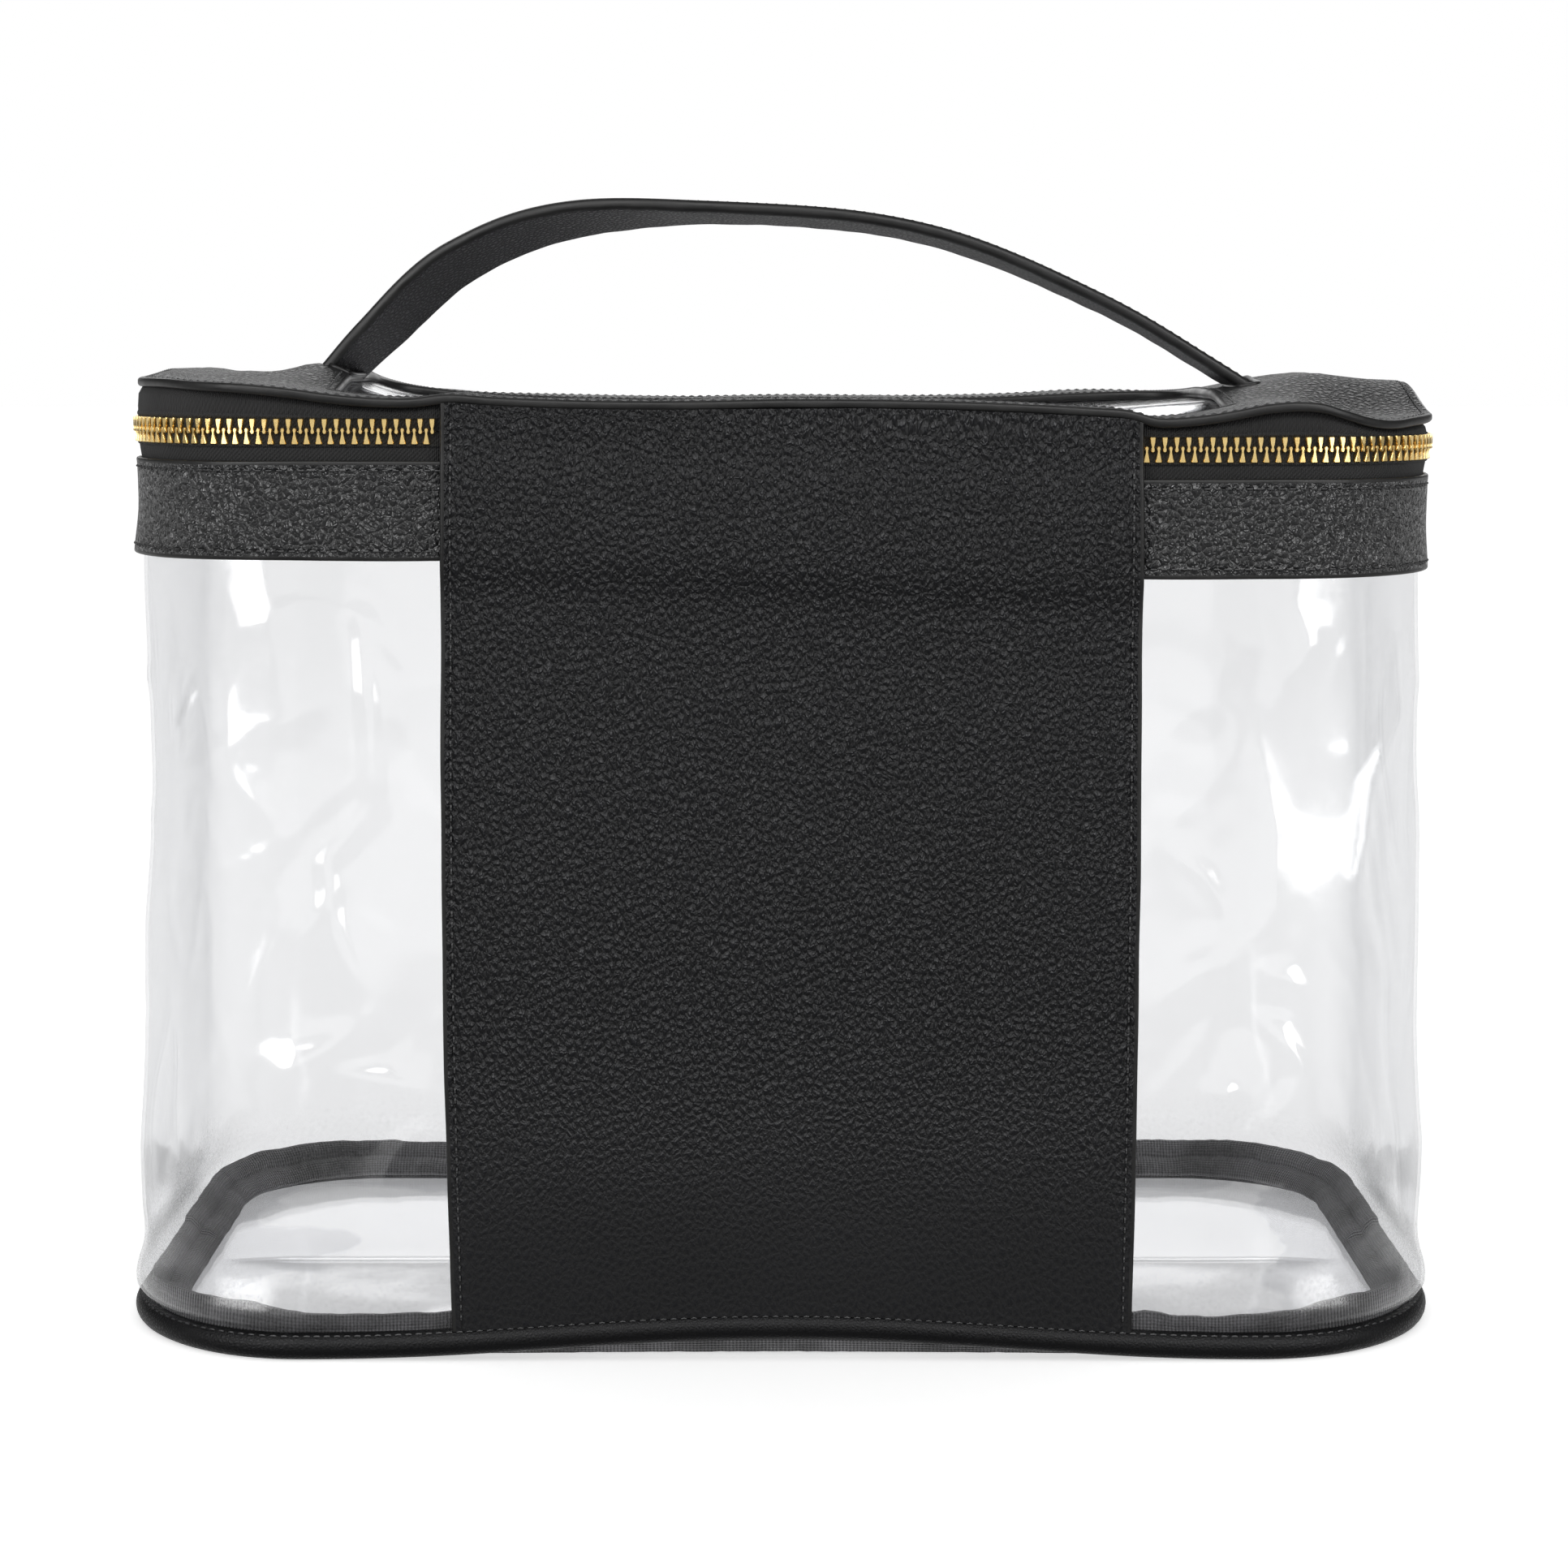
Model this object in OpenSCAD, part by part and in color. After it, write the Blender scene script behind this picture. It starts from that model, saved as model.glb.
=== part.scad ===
// Clear vanity case with leather trim, a hinged lid, a two-slider metal zip and a strap handle.
// +Z is up and the case stands on z = 0. The hinge side faces -Y and the opening side faces +Y.
// "Out" is the distance outward from the clear wall's outer surface at the rim.

/* [Case] */
// Width of the clear wall at the rim
case_w = 288; // [240:1:330]
// Depth of the clear wall at the rim
case_d = 148; // [120:1:190]
// Corner radius of the wall, seen from above
corner_r = 38; // [30:1:50]
// How far each side leans out at the base
flare = 3.5; // [1:0.5:6]
// Height at which the sides become upright
flare_top = 170; // [160:1:171]
// Thickness of the clear wall
wall_t = 0.8; // [0.6:0.1:1]
// Top of the clear wall
wall_top = 191; // [189:1:193]

/* [Base] */
// Radius of the piping round the base seam
piping_r = 2.65; // [2.4:0.05:3]
// Height of the piping's centre over the ground
piping_z = 2.3; // [2.1:0.05:2.35]
// Radius of the filler cord inside the piping
piping_core_r = 1.5; // [1.2:0.1:1.7]
// Thickness of the binding over the base seam
binding_t = 0.8; // [0.6:0.1:1]

/* [Leather trim] */
// Thickness of the leather bands
leather_t = 1.4; // [1.2:0.1:1.4]
// Bottom and top edge of the band round the rim
band_z = [174.4, 195.8];
// Width of the hinge panel
panel_w = 150; // [110:1:165]
// Thickness of the hinge panel
panel_t = 1.2; // [1:0.1:1.2]
// How far the hinge panel sits to the right of the middle
panel_x = 2.5; // [0:0.5:4]

/* [Zip] */
// Height of the zip's centre line
zip_z = 202; // [201.5:0.1:202.2]
// Distance from one tooth to the next on one side
tooth_pitch = 2.56; // [2.4:0.01:3]
// Thickness of a tooth, through the zip
tooth_t = 2.4; // [2:0.1:2.4]
// Thickness of the zip's tape
tape_t = 0.6; // [0.4:0.1:0.6]
// How far the zip runs in under each edge of the hinge panel
zip_tuck = 8; // [5:1:12]

/* [Lid] */
// Underside and top of the lid's leather
lid_z = [208.2, 210.25];
// How far the lid's edge stands outside the wall
lid_out = 2.9; // [2.7:0.1:3]
// Width and depth of the lid's window
window = [200, 100];
// Corner radius of the lid's window
window_r = 12; // [5:1:20]

/* [Handle] */
// Width of the strap
strap_w = 22; // [16:1:26]
// Thickness of the outer leather of the strap
strap_skin_t = 1.1; // [0.9:0.1:1.2]
// Thickness of the strap's filler
strap_core_t = 0.6; // [0.4:0.1:1]
// Distance from the case's middle to each strap slot
slot_x = 117; // [112:1:120]

/* [Hidden] */
$fn = 64;

leather = "#26272a";
cloth = "#1c1c1e";
clear = [0.9, 0.92, 0.95, 0.35];
gold = "#d4aa50";

air = 0.05;
corner_x = case_w / 2 - corner_r;
corner_y = case_d / 2 - corner_r;

// The zip's tape lies just outside the wall and its teeth straddle the tape
tape_out = 0.1;
tooth_mid = tape_out + tape_t / 2;
tooth_gap = 0.6;
tooth_l = 2.2;
tape_grip = 0.6;
zip_end_x = panel_w / 2 - zip_tuck;
zip_side = corner_x + corner_y * 2 + PI * (corner_r + tooth_mid);
zip_half = zip_side + corner_x - zip_end_x;
teeth_each_way = floor(zip_half / tooth_pitch) - 2;

band_out = 0.8;
panel_out = band_out + leather_t + 0.1;
panel_rim_out = tooth_mid + tooth_t / 2 + 0.1;
panel_top = zip_z - tooth_gap;
lining_low = 177;

lining_z = [206.9, 207.5];
flange_z = [207.55, 208.15];
flange_w = 7;
slot_l = 13.2;

slider_l = 11;
slider_h = 9.2;
slider_plate = 1.2;
slider_room = 0.3;
slider_out = tooth_mid + tooth_t / 2 + slider_room;
slider_in = tooth_mid - tooth_t / 2 - slider_room - slider_plate;
slider_mid_x = 6;
crown_out = 6.3;
crown_r = 0.7;
ring_in_r = 1.9;
ring_wire_r = 0.5;
ring_drop = 1;

// Outline of the case from above, moved out by grow
module outline(grow) {
    square([2 * corner_x, case_d + 2 * grow], center = true);
    square([case_w + 2 * grow, 2 * corner_y], center = true);
    for (x = [-corner_x, corner_x], y = [-corner_y, corner_y])
        translate([x, y]) circle(corner_r + grow);
}

// Upright ring that follows the outline, between two distances out and two heights
module ring(out_in, out_out, z_low, z_high) {
    translate([0, 0, z_low])
        linear_extrude(z_high - z_low)
            difference() {
                outline(out_out);
                outline(out_in);
            }
}

// Solid block with the case's outline, which leans out towards the base
module flared_block(grow) {
    low = corner_r + grow + flare;
    high = corner_r + grow;
    for (x = [-corner_x, corner_x], y = [-corner_y, corner_y])
        translate([x, y, 0]) cylinder(h = flare_top, r1 = low, r2 = high);
    rotate([90, 0, 90])
        linear_extrude(2 * corner_x, center = true)
            polygon([
                [-corner_y - low, 0], [corner_y + low, 0],
                [corner_y + high, flare_top], [-corner_y - high, flare_top]
            ]);
    rotate([90, 0, 0])
        linear_extrude(2 * corner_y, center = true)
            polygon([
                [-corner_x - low, 0], [corner_x + low, 0],
                [corner_x + high, flare_top], [-corner_x - high, flare_top]
            ]);
}

// Cross-section, drawn as [out, height] from the base's outline, carried round the base
module carried_round_base() {
    for (side = [0, 180])
        rotate([0, 0, side]) {
            rotate([90, 0, 90])
                linear_extrude(2 * corner_x, center = true)
                    translate([corner_y + corner_r + flare, 0]) children();
            rotate([90, 0, 0])
                linear_extrude(2 * corner_y, center = true)
                    translate([corner_x + corner_r + flare, 0]) children();
        }
    for (turn = [0 : 3]) {
        x = (turn == 0 || turn == 3) ? corner_x : -corner_x;
        y = turn < 2 ? corner_y : -corner_y;
        translate([x, y, 0])
            rotate([0, 0, 90 * turn])
                rotate_extrude(angle = 90)
                    translate([corner_r + flare, 0]) children();
    }
}

// Everything on the hinge side between the two ends of the zip
module zip_gap() {
    translate([-zip_end_x, -case_d / 2 - 20, 0]) cube([2 * zip_end_x, 30, 260]);
}

// Point and direction [x, y, angle] on the zip's line, a distance round from the middle of the front
function zip_point(d) =
    d < 0 ? let (p = zip_point(-d)) [-p[0], p[1], -p[2]] :
    let (
        r = corner_r + tooth_mid,
        arc = PI * r / 2,
        a = (d - corner_x) / r * 180 / PI,
        e = (d - corner_x - arc - 2 * corner_y) / r * 180 / PI
    )
    d < corner_x ? [d, corner_y + r, 0] :
    d < corner_x + arc ? [corner_x + r * sin(a), corner_y + r * cos(a), -a] :
    d < corner_x + arc + 2 * corner_y ? [corner_x + r, corner_y - (d - corner_x - arc), -90] :
    d < zip_side ? [corner_x + r * cos(e), -corner_y - r * sin(e), -90 - e] :
    [corner_x - (d - zip_side), -corner_y - r, -180];

// One tooth: a wide foot on the tape, a neck and a rounded head that points up
module tooth() {
    rotate([90, 0, 0])
        linear_extrude(tooth_t, center = true)
            polygon([
                [-0.75, 0], [0.75, 0], [0.5, 0.9], [0.65, tooth_l - 0.5],
                [0.3, tooth_l], [-0.3, tooth_l], [-0.65, tooth_l - 0.5], [-0.5, 0.9]
            ]);
}

// Small bar clamped over the tape at each end of the teeth
module zip_stop(z_low, z_high) {
    for (side = [-1, 1])
        translate([side * (zip_end_x + 1.2), -case_d / 2 - tooth_mid, (z_low + z_high) / 2])
            cube([1.8, tooth_t, z_high - z_low], center = true);
}

// Height profile of a piece behind or over the hinge side's wall, from [out, height] points
module hinge_side_strip(width, points) {
    translate([panel_x, 0, 0])
        rotate([90, 0, 90])
            linear_extrude(width, center = true)
                polygon([for (p = points) [-case_d / 2 - p[0], p[1]]]);
}

// How far the wall stands out at a height
function lean(z) = flare * max(0, 1 - z / flare_top);

// Rounded rectangle about the middle
module rounded_rect(size, r) {
    square([size[0] - 2 * r, size[1]], center = true);
    square([size[0], size[1] - 2 * r], center = true);
    for (x = [-1, 1], y = [-1, 1])
        translate([x * (size[0] / 2 - r), y * (size[1] / 2 - r)]) circle(r);
}

// The two openings that the strap comes through
module strap_slots() {
    for (side = [0, 1])
        mirror([side, 0, 0])
            translate([slot_x + 3.5 - slot_l, -strap_w / 2 - 0.5, 200])
                cube([slot_l, strap_w + 1, 20]);
}

// The strap's outer line from the left slot to the right one, as [x, z]
strap_line = [
    [-122, 198], [-117.5, 207.2], [-108, 216.5], [-96, 230], [-76, 246], [-47, 254.6], [0, 253],
    [38, 247.5], [75, 233], [100, 219], [118.5, 207.2], [126, 198]
];
strap_last = len(strap_line) - 2;
strap_step = 1 / 6;
foot_left_end = 2.42;
foot_right_start = 8.75;
foot_gap = 0.02;

// Point on a smooth curve through the strap's line, and the curve's direction there
function curve(p0, p1, p2, p3, t) =
    0.5 * (2 * p1 + (p2 - p0) * t + (2 * p0 - 5 * p1 + 4 * p2 - p3) * t * t
    + (3 * p1 - p0 - 3 * p2 + p3) * t * t * t);
function strap_point(u) =
    let (i = min(floor(u), strap_last - 1), t = u - i)
    curve(strap_line[i - 1], strap_line[i], strap_line[i + 1], strap_line[i + 2], t);
function strap_under(u, depth) =
    let (
        a = strap_point(max(u - 0.01, 1)),
        b = strap_point(min(u + 0.01, strap_last)),
        d = (b - a) / norm(b - a)
    )
    strap_point(u) + depth * [d[1], -d[0]];

// One layer of the strap, between two depths under its outer line and two places along it
module strap_layer(depth_a, depth_b, u_a, u_b) {
    steps = ceil((u_b - u_a) / strap_step);
    stops = [for (i = [0 : steps]) u_a + (u_b - u_a) * i / steps];
    rotate([90, 0, 0])
        linear_extrude(strap_w, center = true)
            polygon(concat(
                [for (u = stops) strap_under(u, depth_a)],
                [for (i = [steps : -1 : 0]) strap_under(stops[i], depth_b)]
            ));
}
strap_t = 2 * strap_skin_t + strap_core_t;

// Flat leather end of the strap, sewn under the lid
module handle_anchor() {
    translate([slot_x - 4, -strap_w / 2, lining_z[0] - air - 1.4]) cube([25, strap_w, 1.4]);
}

// Slider with its wide end towards +X: an outer and an inner plate joined by a post between the teeth
module slider_plate_shape() {
    polygon([
        [-slider_l / 2, -3.4], [-slider_l / 2 + 1.2, -4.1], [slider_l / 2 - 3, -slider_h / 2],
        [slider_l / 2 - 0.8, -slider_h / 2 + 0.8], [slider_l / 2, -2.6], [slider_l / 2, 2.6],
        [slider_l / 2 - 0.8, slider_h / 2 - 0.8], [slider_l / 2 - 3, slider_h / 2],
        [-slider_l / 2 + 1.2, 4.1], [-slider_l / 2, 3.4]
    ]);
}
module slider() {
    module plate(out_from, thickness) {
        translate([0, out_from + thickness, 0])
            rotate([90, 0, 0]) linear_extrude(thickness) slider_plate_shape();
    }
    translate([0, case_d / 2, zip_z]) {
        plate(slider_out, slider_plate);
        plate(slider_in, slider_plate);
        // Post between the two rows of teeth
        translate([slider_l / 2 - 4, slider_in + slider_plate - air, -0.35])
            cube([3, slider_out - slider_in - slider_plate + 2 * air, 0.7]);
        // Lips that close round the lower row's tape
        for (y = [slider_out - 0.9, slider_in + slider_plate - air])
            translate([-slider_l / 2 + 1.2, y, -4.6]) cube([slider_l - 5, 0.9 + air, 1]);
    }
}
module slider_crown() {
    foot_x = 3.6;
    foot_from = slider_out + slider_plate + air;
    translate([0, case_d / 2, zip_z]) {
        translate([-foot_x, crown_out, 0])
            rotate([0, 90, 0]) cylinder(h = 2 * foot_x, r = crown_r, $fn = 24);
        for (x = [-foot_x, foot_x])
            translate([x - crown_r, foot_from, -crown_r])
                cube([2 * crown_r, crown_out + crown_r - foot_from, 2 * crown_r]);
    }
}
module pull_ring() {
    translate([0, case_d / 2 + crown_out, zip_z - ring_drop])
        rotate([0, 90, 0])
            rotate_extrude($fn = 32)
                translate([ring_in_r + ring_wire_r, 0]) circle(ring_wire_r, $fn = 16);
}
module pull_tab() {
    eye_z = zip_z - ring_drop - ring_in_r - ring_wire_r;
    tab_w = 7;
    tab_l = 24;
    tab_t = 1.6;
    translate([0, case_d / 2 + crown_out + tab_t / 2, eye_z])
        rotate([90, 0, 0])
            linear_extrude(tab_t)
                difference() {
                    union() {
                        circle(2, $fn = 32);
                        translate([-2, -4]) square([4, 4]);
                        translate([-tab_w / 2, 3 - tab_l]) square([tab_w, tab_l - 6]);
                        translate([0, 3 - tab_l]) circle(tab_w / 2, $fn = 48);
                    }
                    circle(0.8, $fn = 24);
                }
}

module body_wall() color(clear) {
    difference() {
        flared_block(0);
        flared_block(-wall_t);
        translate([-case_w, -case_d, -1]) cube([2 * case_w, 2 * case_d, 6.2]);
    }
    ring(-wall_t, 0, flare_top, wall_top);
}
module base_sheet() color(clear) {
    translate([0, 0, 1.9]) linear_extrude(wall_t) outline(flare - piping_r - 0.15);
}
module base_piping() color(leather)
    carried_round_base() {
        difference() {
            intersection() {
                translate([0, piping_z]) circle(piping_r, $fn = 40);
                translate([-5, 0]) square([10, 10]);
            }
            translate([0, piping_z]) circle(piping_core_r + air, $fn = 32);
        }
    }
module base_piping_cord() color(cloth)
    carried_round_base() translate([0, piping_z]) circle(piping_core_r, $fn = 32);
module base_binding() color(cloth)
    carried_round_base()
        polygon([
            [-1.5, 10.6], [-1.5 - binding_t, 10.6], [-9.2, 3.3 + binding_t], [-9.2, 3.3],
            [-9.2 + binding_t, 3.3]
        ]);
module collar_band() color(leather) ring(band_out, band_out + leather_t, band_z[0], band_z[1]);
module collar_lining() color(cloth) ring(-wall_t - 0.9, -wall_t - 0.1, lining_low, wall_top);
module hinge_panel() color(leather)
    hinge_side_strip(panel_w, [
        [lean(5.4) + 0.1, 5.4], [0.1, flare_top - 2], [panel_out, band_z[0] - 1],
        [panel_out, band_z[1] + 0.4], [panel_rim_out, band_z[1] + 1.4], [panel_rim_out, panel_top],
        [panel_rim_out + panel_t, panel_top], [panel_rim_out + panel_t, band_z[1] + 1.6],
        [panel_out + panel_t, band_z[1] + 0.6], [panel_out + panel_t, band_z[0] - 2],
        [panel_t + 0.1, flare_top - 3.5], [lean(5.4) + panel_t + 0.1, 5.4]
    ]);
module hinge_panel_lining() color(cloth)
    hinge_side_strip(panel_w - 6, [
        [lean(15) - wall_t - 0.1, 15], [-wall_t - 0.1, flare_top],
        [-wall_t - 0.1, lining_low - 0.5], [-wall_t - 0.9, lining_low - 0.5],
        [-wall_t - 0.9, flare_top], [lean(15) - wall_t - 0.9, 15]
    ]);
module lower_zip_tape() color(cloth)
    difference() {
        ring(tape_out, tape_out + tape_t, 185.5, zip_z - tooth_gap - tooth_l + tape_grip);
        zip_gap();
    }
module lower_zip_teeth() color(gold)
    for (i = [-teeth_each_way : teeth_each_way - 1]) {
        p = zip_point((i + 0.5) * tooth_pitch);
        translate([p[0], p[1], zip_z - tooth_gap - tooth_l]) rotate([0, 0, p[2]]) tooth();
    }
module lower_zip_stops() color(gold) zip_stop(zip_z - 3, zip_z - tooth_gap);
module lid_frame() color(leather)
    difference() {
        translate([0, 0, lid_z[0]])
            linear_extrude(lid_z[1] - lid_z[0])
                difference() {
                    outline(lid_out);
                    rounded_rect(window, window_r);
                }
        strap_slots();
    }
module lid_window() color(clear)
    translate([0, 0, flange_z[0]])
        linear_extrude(flange_z[1] - flange_z[0]) rounded_rect([214, 114], 16);
module lid_lining() color(cloth)
    difference() {
        translate([0, 0, lining_z[0]])
            linear_extrude(lining_z[1] - lining_z[0])
                difference() {
                    outline(-1.5);
                    rounded_rect([window[0] + 4, window[1] + 4], window_r + 2);
                }
        strap_slots();
    }
module lid_hinge_strip() color(leather)
    hinge_side_strip(panel_w, [
        [panel_rim_out, zip_z + tooth_gap], [panel_rim_out, flange_z[1]],
        [panel_rim_out + panel_t, flange_z[1]], [panel_rim_out + panel_t, zip_z + tooth_gap]
    ]);
module upper_zip_tape() color(cloth)
    difference() {
        union() {
            ring(tape_out, tape_out + tape_t, zip_z + tooth_gap + tooth_l - tape_grip, flange_z[1]);
            ring(-flange_w, tape_out + tape_t, flange_z[0], flange_z[1]);
        }
        zip_gap();
    }
module upper_zip_teeth() color(gold)
    for (i = [-teeth_each_way : teeth_each_way]) {
        p = zip_point(i * tooth_pitch);
        translate([p[0], p[1], zip_z + tooth_gap + tooth_l])
            rotate([0, 0, p[2]]) mirror([0, 0, 1]) tooth();
    }
module upper_zip_stops() color(gold) zip_stop(zip_z + tooth_gap, zip_z + 3);
module handle_anchor_left() color(leather) mirror([1, 0, 0]) handle_anchor();
module handle_anchor_right() color(leather) handle_anchor();
module handle_foot_left() color(leather) strap_layer(0, strap_t, 1, foot_left_end - foot_gap);
module handle_foot_right() color(leather)
    strap_layer(0, strap_t, foot_right_start + foot_gap, strap_last);
module handle_top() color(leather) strap_layer(0, strap_skin_t, foot_left_end, foot_right_start);
module handle_core() color(cloth)
    strap_layer(strap_skin_t, strap_skin_t + strap_core_t, foot_left_end, foot_right_start);
module handle_underside() color(leather)
    strap_layer(strap_skin_t + strap_core_t, strap_t, foot_left_end, foot_right_start);
module slider_left() color(gold) translate([-slider_mid_x, 0, 0]) slider();
module slider_right() color(gold) mirror([1, 0, 0]) translate([-slider_mid_x, 0, 0]) slider();
module slider_left_crown() color(gold) translate([-slider_mid_x, 0, 0]) slider_crown();
module slider_right_crown() color(gold) mirror([1, 0, 0]) translate([-slider_mid_x, 0, 0]) slider_crown();
module pull_left_ring() color(gold) translate([-slider_mid_x, 0, 0]) pull_ring();
module pull_right_ring() color(gold) translate([slider_mid_x, 0, 0]) pull_ring();
module pull_left_tab() color(gold) translate([-slider_mid_x, 0, 0]) pull_tab();
module pull_right_tab() color(gold) translate([slider_mid_x, 0, 0]) pull_tab();

body_wall();
base_sheet();
base_piping();
base_piping_cord();
base_binding();
collar_band();
collar_lining();
hinge_panel();
hinge_panel_lining();
lower_zip_tape();
lower_zip_teeth();
lower_zip_stops();
lid_frame();
lid_window();
lid_lining();
lid_hinge_strip();
upper_zip_tape();
upper_zip_teeth();
upper_zip_stops();
handle_anchor_left();
handle_anchor_right();
handle_foot_left();
handle_foot_right();
handle_top();
handle_core();
handle_underside();
slider_left();
slider_right();
slider_left_crown();
slider_right_crown();
pull_left_ring();
pull_right_ring();
pull_left_tab();
pull_right_tab();
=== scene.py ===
import math

import bmesh
import bpy
import numpy as np
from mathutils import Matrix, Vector, noise


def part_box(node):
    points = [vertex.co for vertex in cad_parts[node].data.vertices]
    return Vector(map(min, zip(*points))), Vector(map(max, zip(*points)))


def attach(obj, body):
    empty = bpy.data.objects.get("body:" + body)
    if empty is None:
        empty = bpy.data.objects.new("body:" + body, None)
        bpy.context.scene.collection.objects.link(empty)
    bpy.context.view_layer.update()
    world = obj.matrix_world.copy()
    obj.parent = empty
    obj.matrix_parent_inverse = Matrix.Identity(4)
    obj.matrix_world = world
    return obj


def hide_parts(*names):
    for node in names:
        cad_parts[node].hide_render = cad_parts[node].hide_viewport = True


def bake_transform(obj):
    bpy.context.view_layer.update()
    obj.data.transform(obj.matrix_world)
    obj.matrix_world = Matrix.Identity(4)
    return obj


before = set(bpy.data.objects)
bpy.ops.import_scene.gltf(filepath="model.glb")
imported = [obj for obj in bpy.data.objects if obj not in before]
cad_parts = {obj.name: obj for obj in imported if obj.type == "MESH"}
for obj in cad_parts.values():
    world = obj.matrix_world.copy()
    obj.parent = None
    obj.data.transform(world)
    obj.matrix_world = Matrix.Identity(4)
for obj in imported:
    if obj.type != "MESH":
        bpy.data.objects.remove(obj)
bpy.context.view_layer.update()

# Clear vanity case with leather trim, a hinged lid, a two-slider metal zip and a strap handle.
# Metres, in the CAD frame: the hinge side faces -Y and the opening side +Y.
# "s" is the distance round the rim from the middle of the opening side towards +X, "out" the distance
# outward from the clear wall's outer surface at the rim, and "z" the height before the case sagged.

MM = 0.001

# ---------------------------------------------------------------- sizes, from the frame

band_low, band_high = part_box("collar_band")
panel_low, panel_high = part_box("hinge_panel")
lid_low, lid_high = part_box("lid_frame")
window_low, window_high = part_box("lid_window")
wall_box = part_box("body_wall")
strap_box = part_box("handle_top")

BAND_OUT = 2.2 * MM  # outer face of the leather band, out from the wall
CORNER_R = 38 * MM
HALF_W = band_high.x - BAND_OUT
HALF_D = band_high.y - BAND_OUT
RIM = (HALF_W - CORNER_R, HALF_D - CORNER_R, CORNER_R)
CORNER_ARC = CORNER_R * math.pi / 2
ROUND = 4 * (RIM[0] + RIM[1] + CORNER_ARC)
WALL_T = 0.8 * MM
WALL_FOOT = 4.9 * MM
WALL_TOP = wall_box[1].z
FLARE = 3.5 * MM  # how much wider the wall is at its foot, on each side
FLARE_TOP = 170 * MM
LEATHER_T = 1.4 * MM
LINING_T = 0.8 * MM
PANEL_W = panel_high.x - panel_low.x
PANEL_X = (panel_high.x + panel_low.x) / 2
PANEL_T = 1.2 * MM
PANEL_FOOT = 5.4 * MM
PANEL_HEAD = 208.4 * MM
LID_TOP = lid_high.z
LID_T = lid_high.z - lid_low.z
LID_OUT = lid_high.x - HALF_W
LID_W = 36 * MM  # width of the leather between the lid's edge and its window, before it stretches
WINDOW = (88 * MM, 38 * MM, 12 * MM)
GLASS_R = 16 * MM
ZIP_Z = 202 * MM
TOOTH_OUT = 0.4 * MM
TOOTH_PITCH = 2.56 * MM
TOOTH_FOOT = ZIP_Z - 2.76 * MM
TOOTH_HEAD = ZIP_Z + 2.78 * MM
ZIP_END_X = 67 * MM
TAPE_T = 0.6 * MM
STRAP_W = strap_box[1].y - strap_box[0].y
STRAP_T = 2.8 * MM
STITCH_PITCH = 2.25 * MM
STITCH_INSET = 2.1 * MM
STITCH_SUNK = 0.12 * MM
HINGE_LINE = (0, -77.8 * MM, ZIP_Z)
HINGE_BLEND = ((0, HINGE_LINE[1], 197 * MM), (0, HINGE_LINE[1], 206.5 * MM))
HANDLE_BLEND = ((0, 0, 213 * MM), (0, 0, 224 * MM))

# How far the used case has moved from the new one
RIM_TILT = 1.95 * MM
RIM_TILT_HALF_W = 75 * MM
BASE_ARCH = 4.6 * MM
BASE_ARCH_HALF_W = 104 * MM
ZIP_BULGE = 1.5 * MM
BAND_TUCK = 0.7 * MM
WALL_HOLLOW = 1.5 * MM
FOOT_BULGE = 1.3 * MM
FOOT_SWELL = 0.6 * MM
CORNER_SWELL = 1.9 * MM
PANEL_SLACK = 0.5 * MM

# ---------------------------------------------------------------- camera

bpy.context.scene.view_settings.view_transform = "Standard"
camera = bpy.data.objects.new("camera", bpy.data.cameras.new("camera"))
camera.data.lens = 72.75
camera.data.sensor_width = 36
camera.location = (0.7 * MM, -755.8 * MM, 221 * MM)
camera.rotation_euler = (math.radians(82.22), 0, 0)
bpy.context.scene.collection.objects.link(camera)
bpy.context.scene.camera = camera


# ---------------------------------------------------------------- shapes of the case

def smooth(value, low, high):
    """0 below low, 1 above high and an even change between."""
    t = np.clip((value - low) / (high - low), 0, 1)
    return t * t * (3 - 2 * t)


def curve_through(knots, x):
    """Height at x of a smooth curve through (x, height) knots, both in millimetres; x is in metres."""
    knots = np.array(knots, float) * MM
    kx, ky = knots.T
    slope = np.gradient(ky, kx)
    x = np.clip(x, kx[0], kx[-1])
    i = np.clip(np.searchsorted(kx, x) - 1, 0, len(kx) - 2)
    span = kx[i + 1] - kx[i]
    t = (x - kx[i]) / span
    t2, t3 = t * t, t * t * t
    return ((2 * t3 - 3 * t2 + 1) * ky[i] + (t3 - 2 * t2 + t) * span * slope[i]
            + (3 * t2 - 2 * t3) * ky[i + 1] + (t3 - t2) * span * slope[i + 1])


def wander(a, b, size, seed):
    """Smooth noise from -1 to 1 over two coordinates in metres."""
    a, b = np.broadcast_arrays(a, b)
    flat = [noise.noise(Vector((p / size, q / size, seed * 7.3))) for p, q in zip(a.ravel(), b.ravel())]
    return np.array(flat).reshape(a.shape)


def outline(s, shape=RIM, onto=None):
    """Points at distances s round a rounded rectangle, and their outward directions.
    shape is (half straight width, half straight depth, corner radius); onto is another one to land on."""
    cx, cy, r = shape
    to_x, to_y, to_r = onto or shape
    arc = r * math.pi / 2
    total = 4 * (cx + cy + arc)
    s = (np.asarray(s, float) + total / 2) % total - total / 2
    a = np.abs(s)
    turn = np.clip((a - cx) / r, 0, math.pi / 2) + np.clip((a - cx - arc - 2 * cy) / r, 0, math.pi / 2)
    back = cx + 2 * arc + 2 * cy
    mid_x = np.where(a < cx, a, np.where(a < back, cx, cx - (a - back))) * (to_x / cx)
    mid_y = np.clip(cy - (a - cx - arc), -cy, cy) * (to_y / cy)
    side = np.where(s < 0, -1.0, 1.0)
    nx, ny = side * np.sin(turn), np.cos(turn)
    return side * mid_x + to_r * nx, mid_y + to_r * ny, nx, ny


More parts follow.
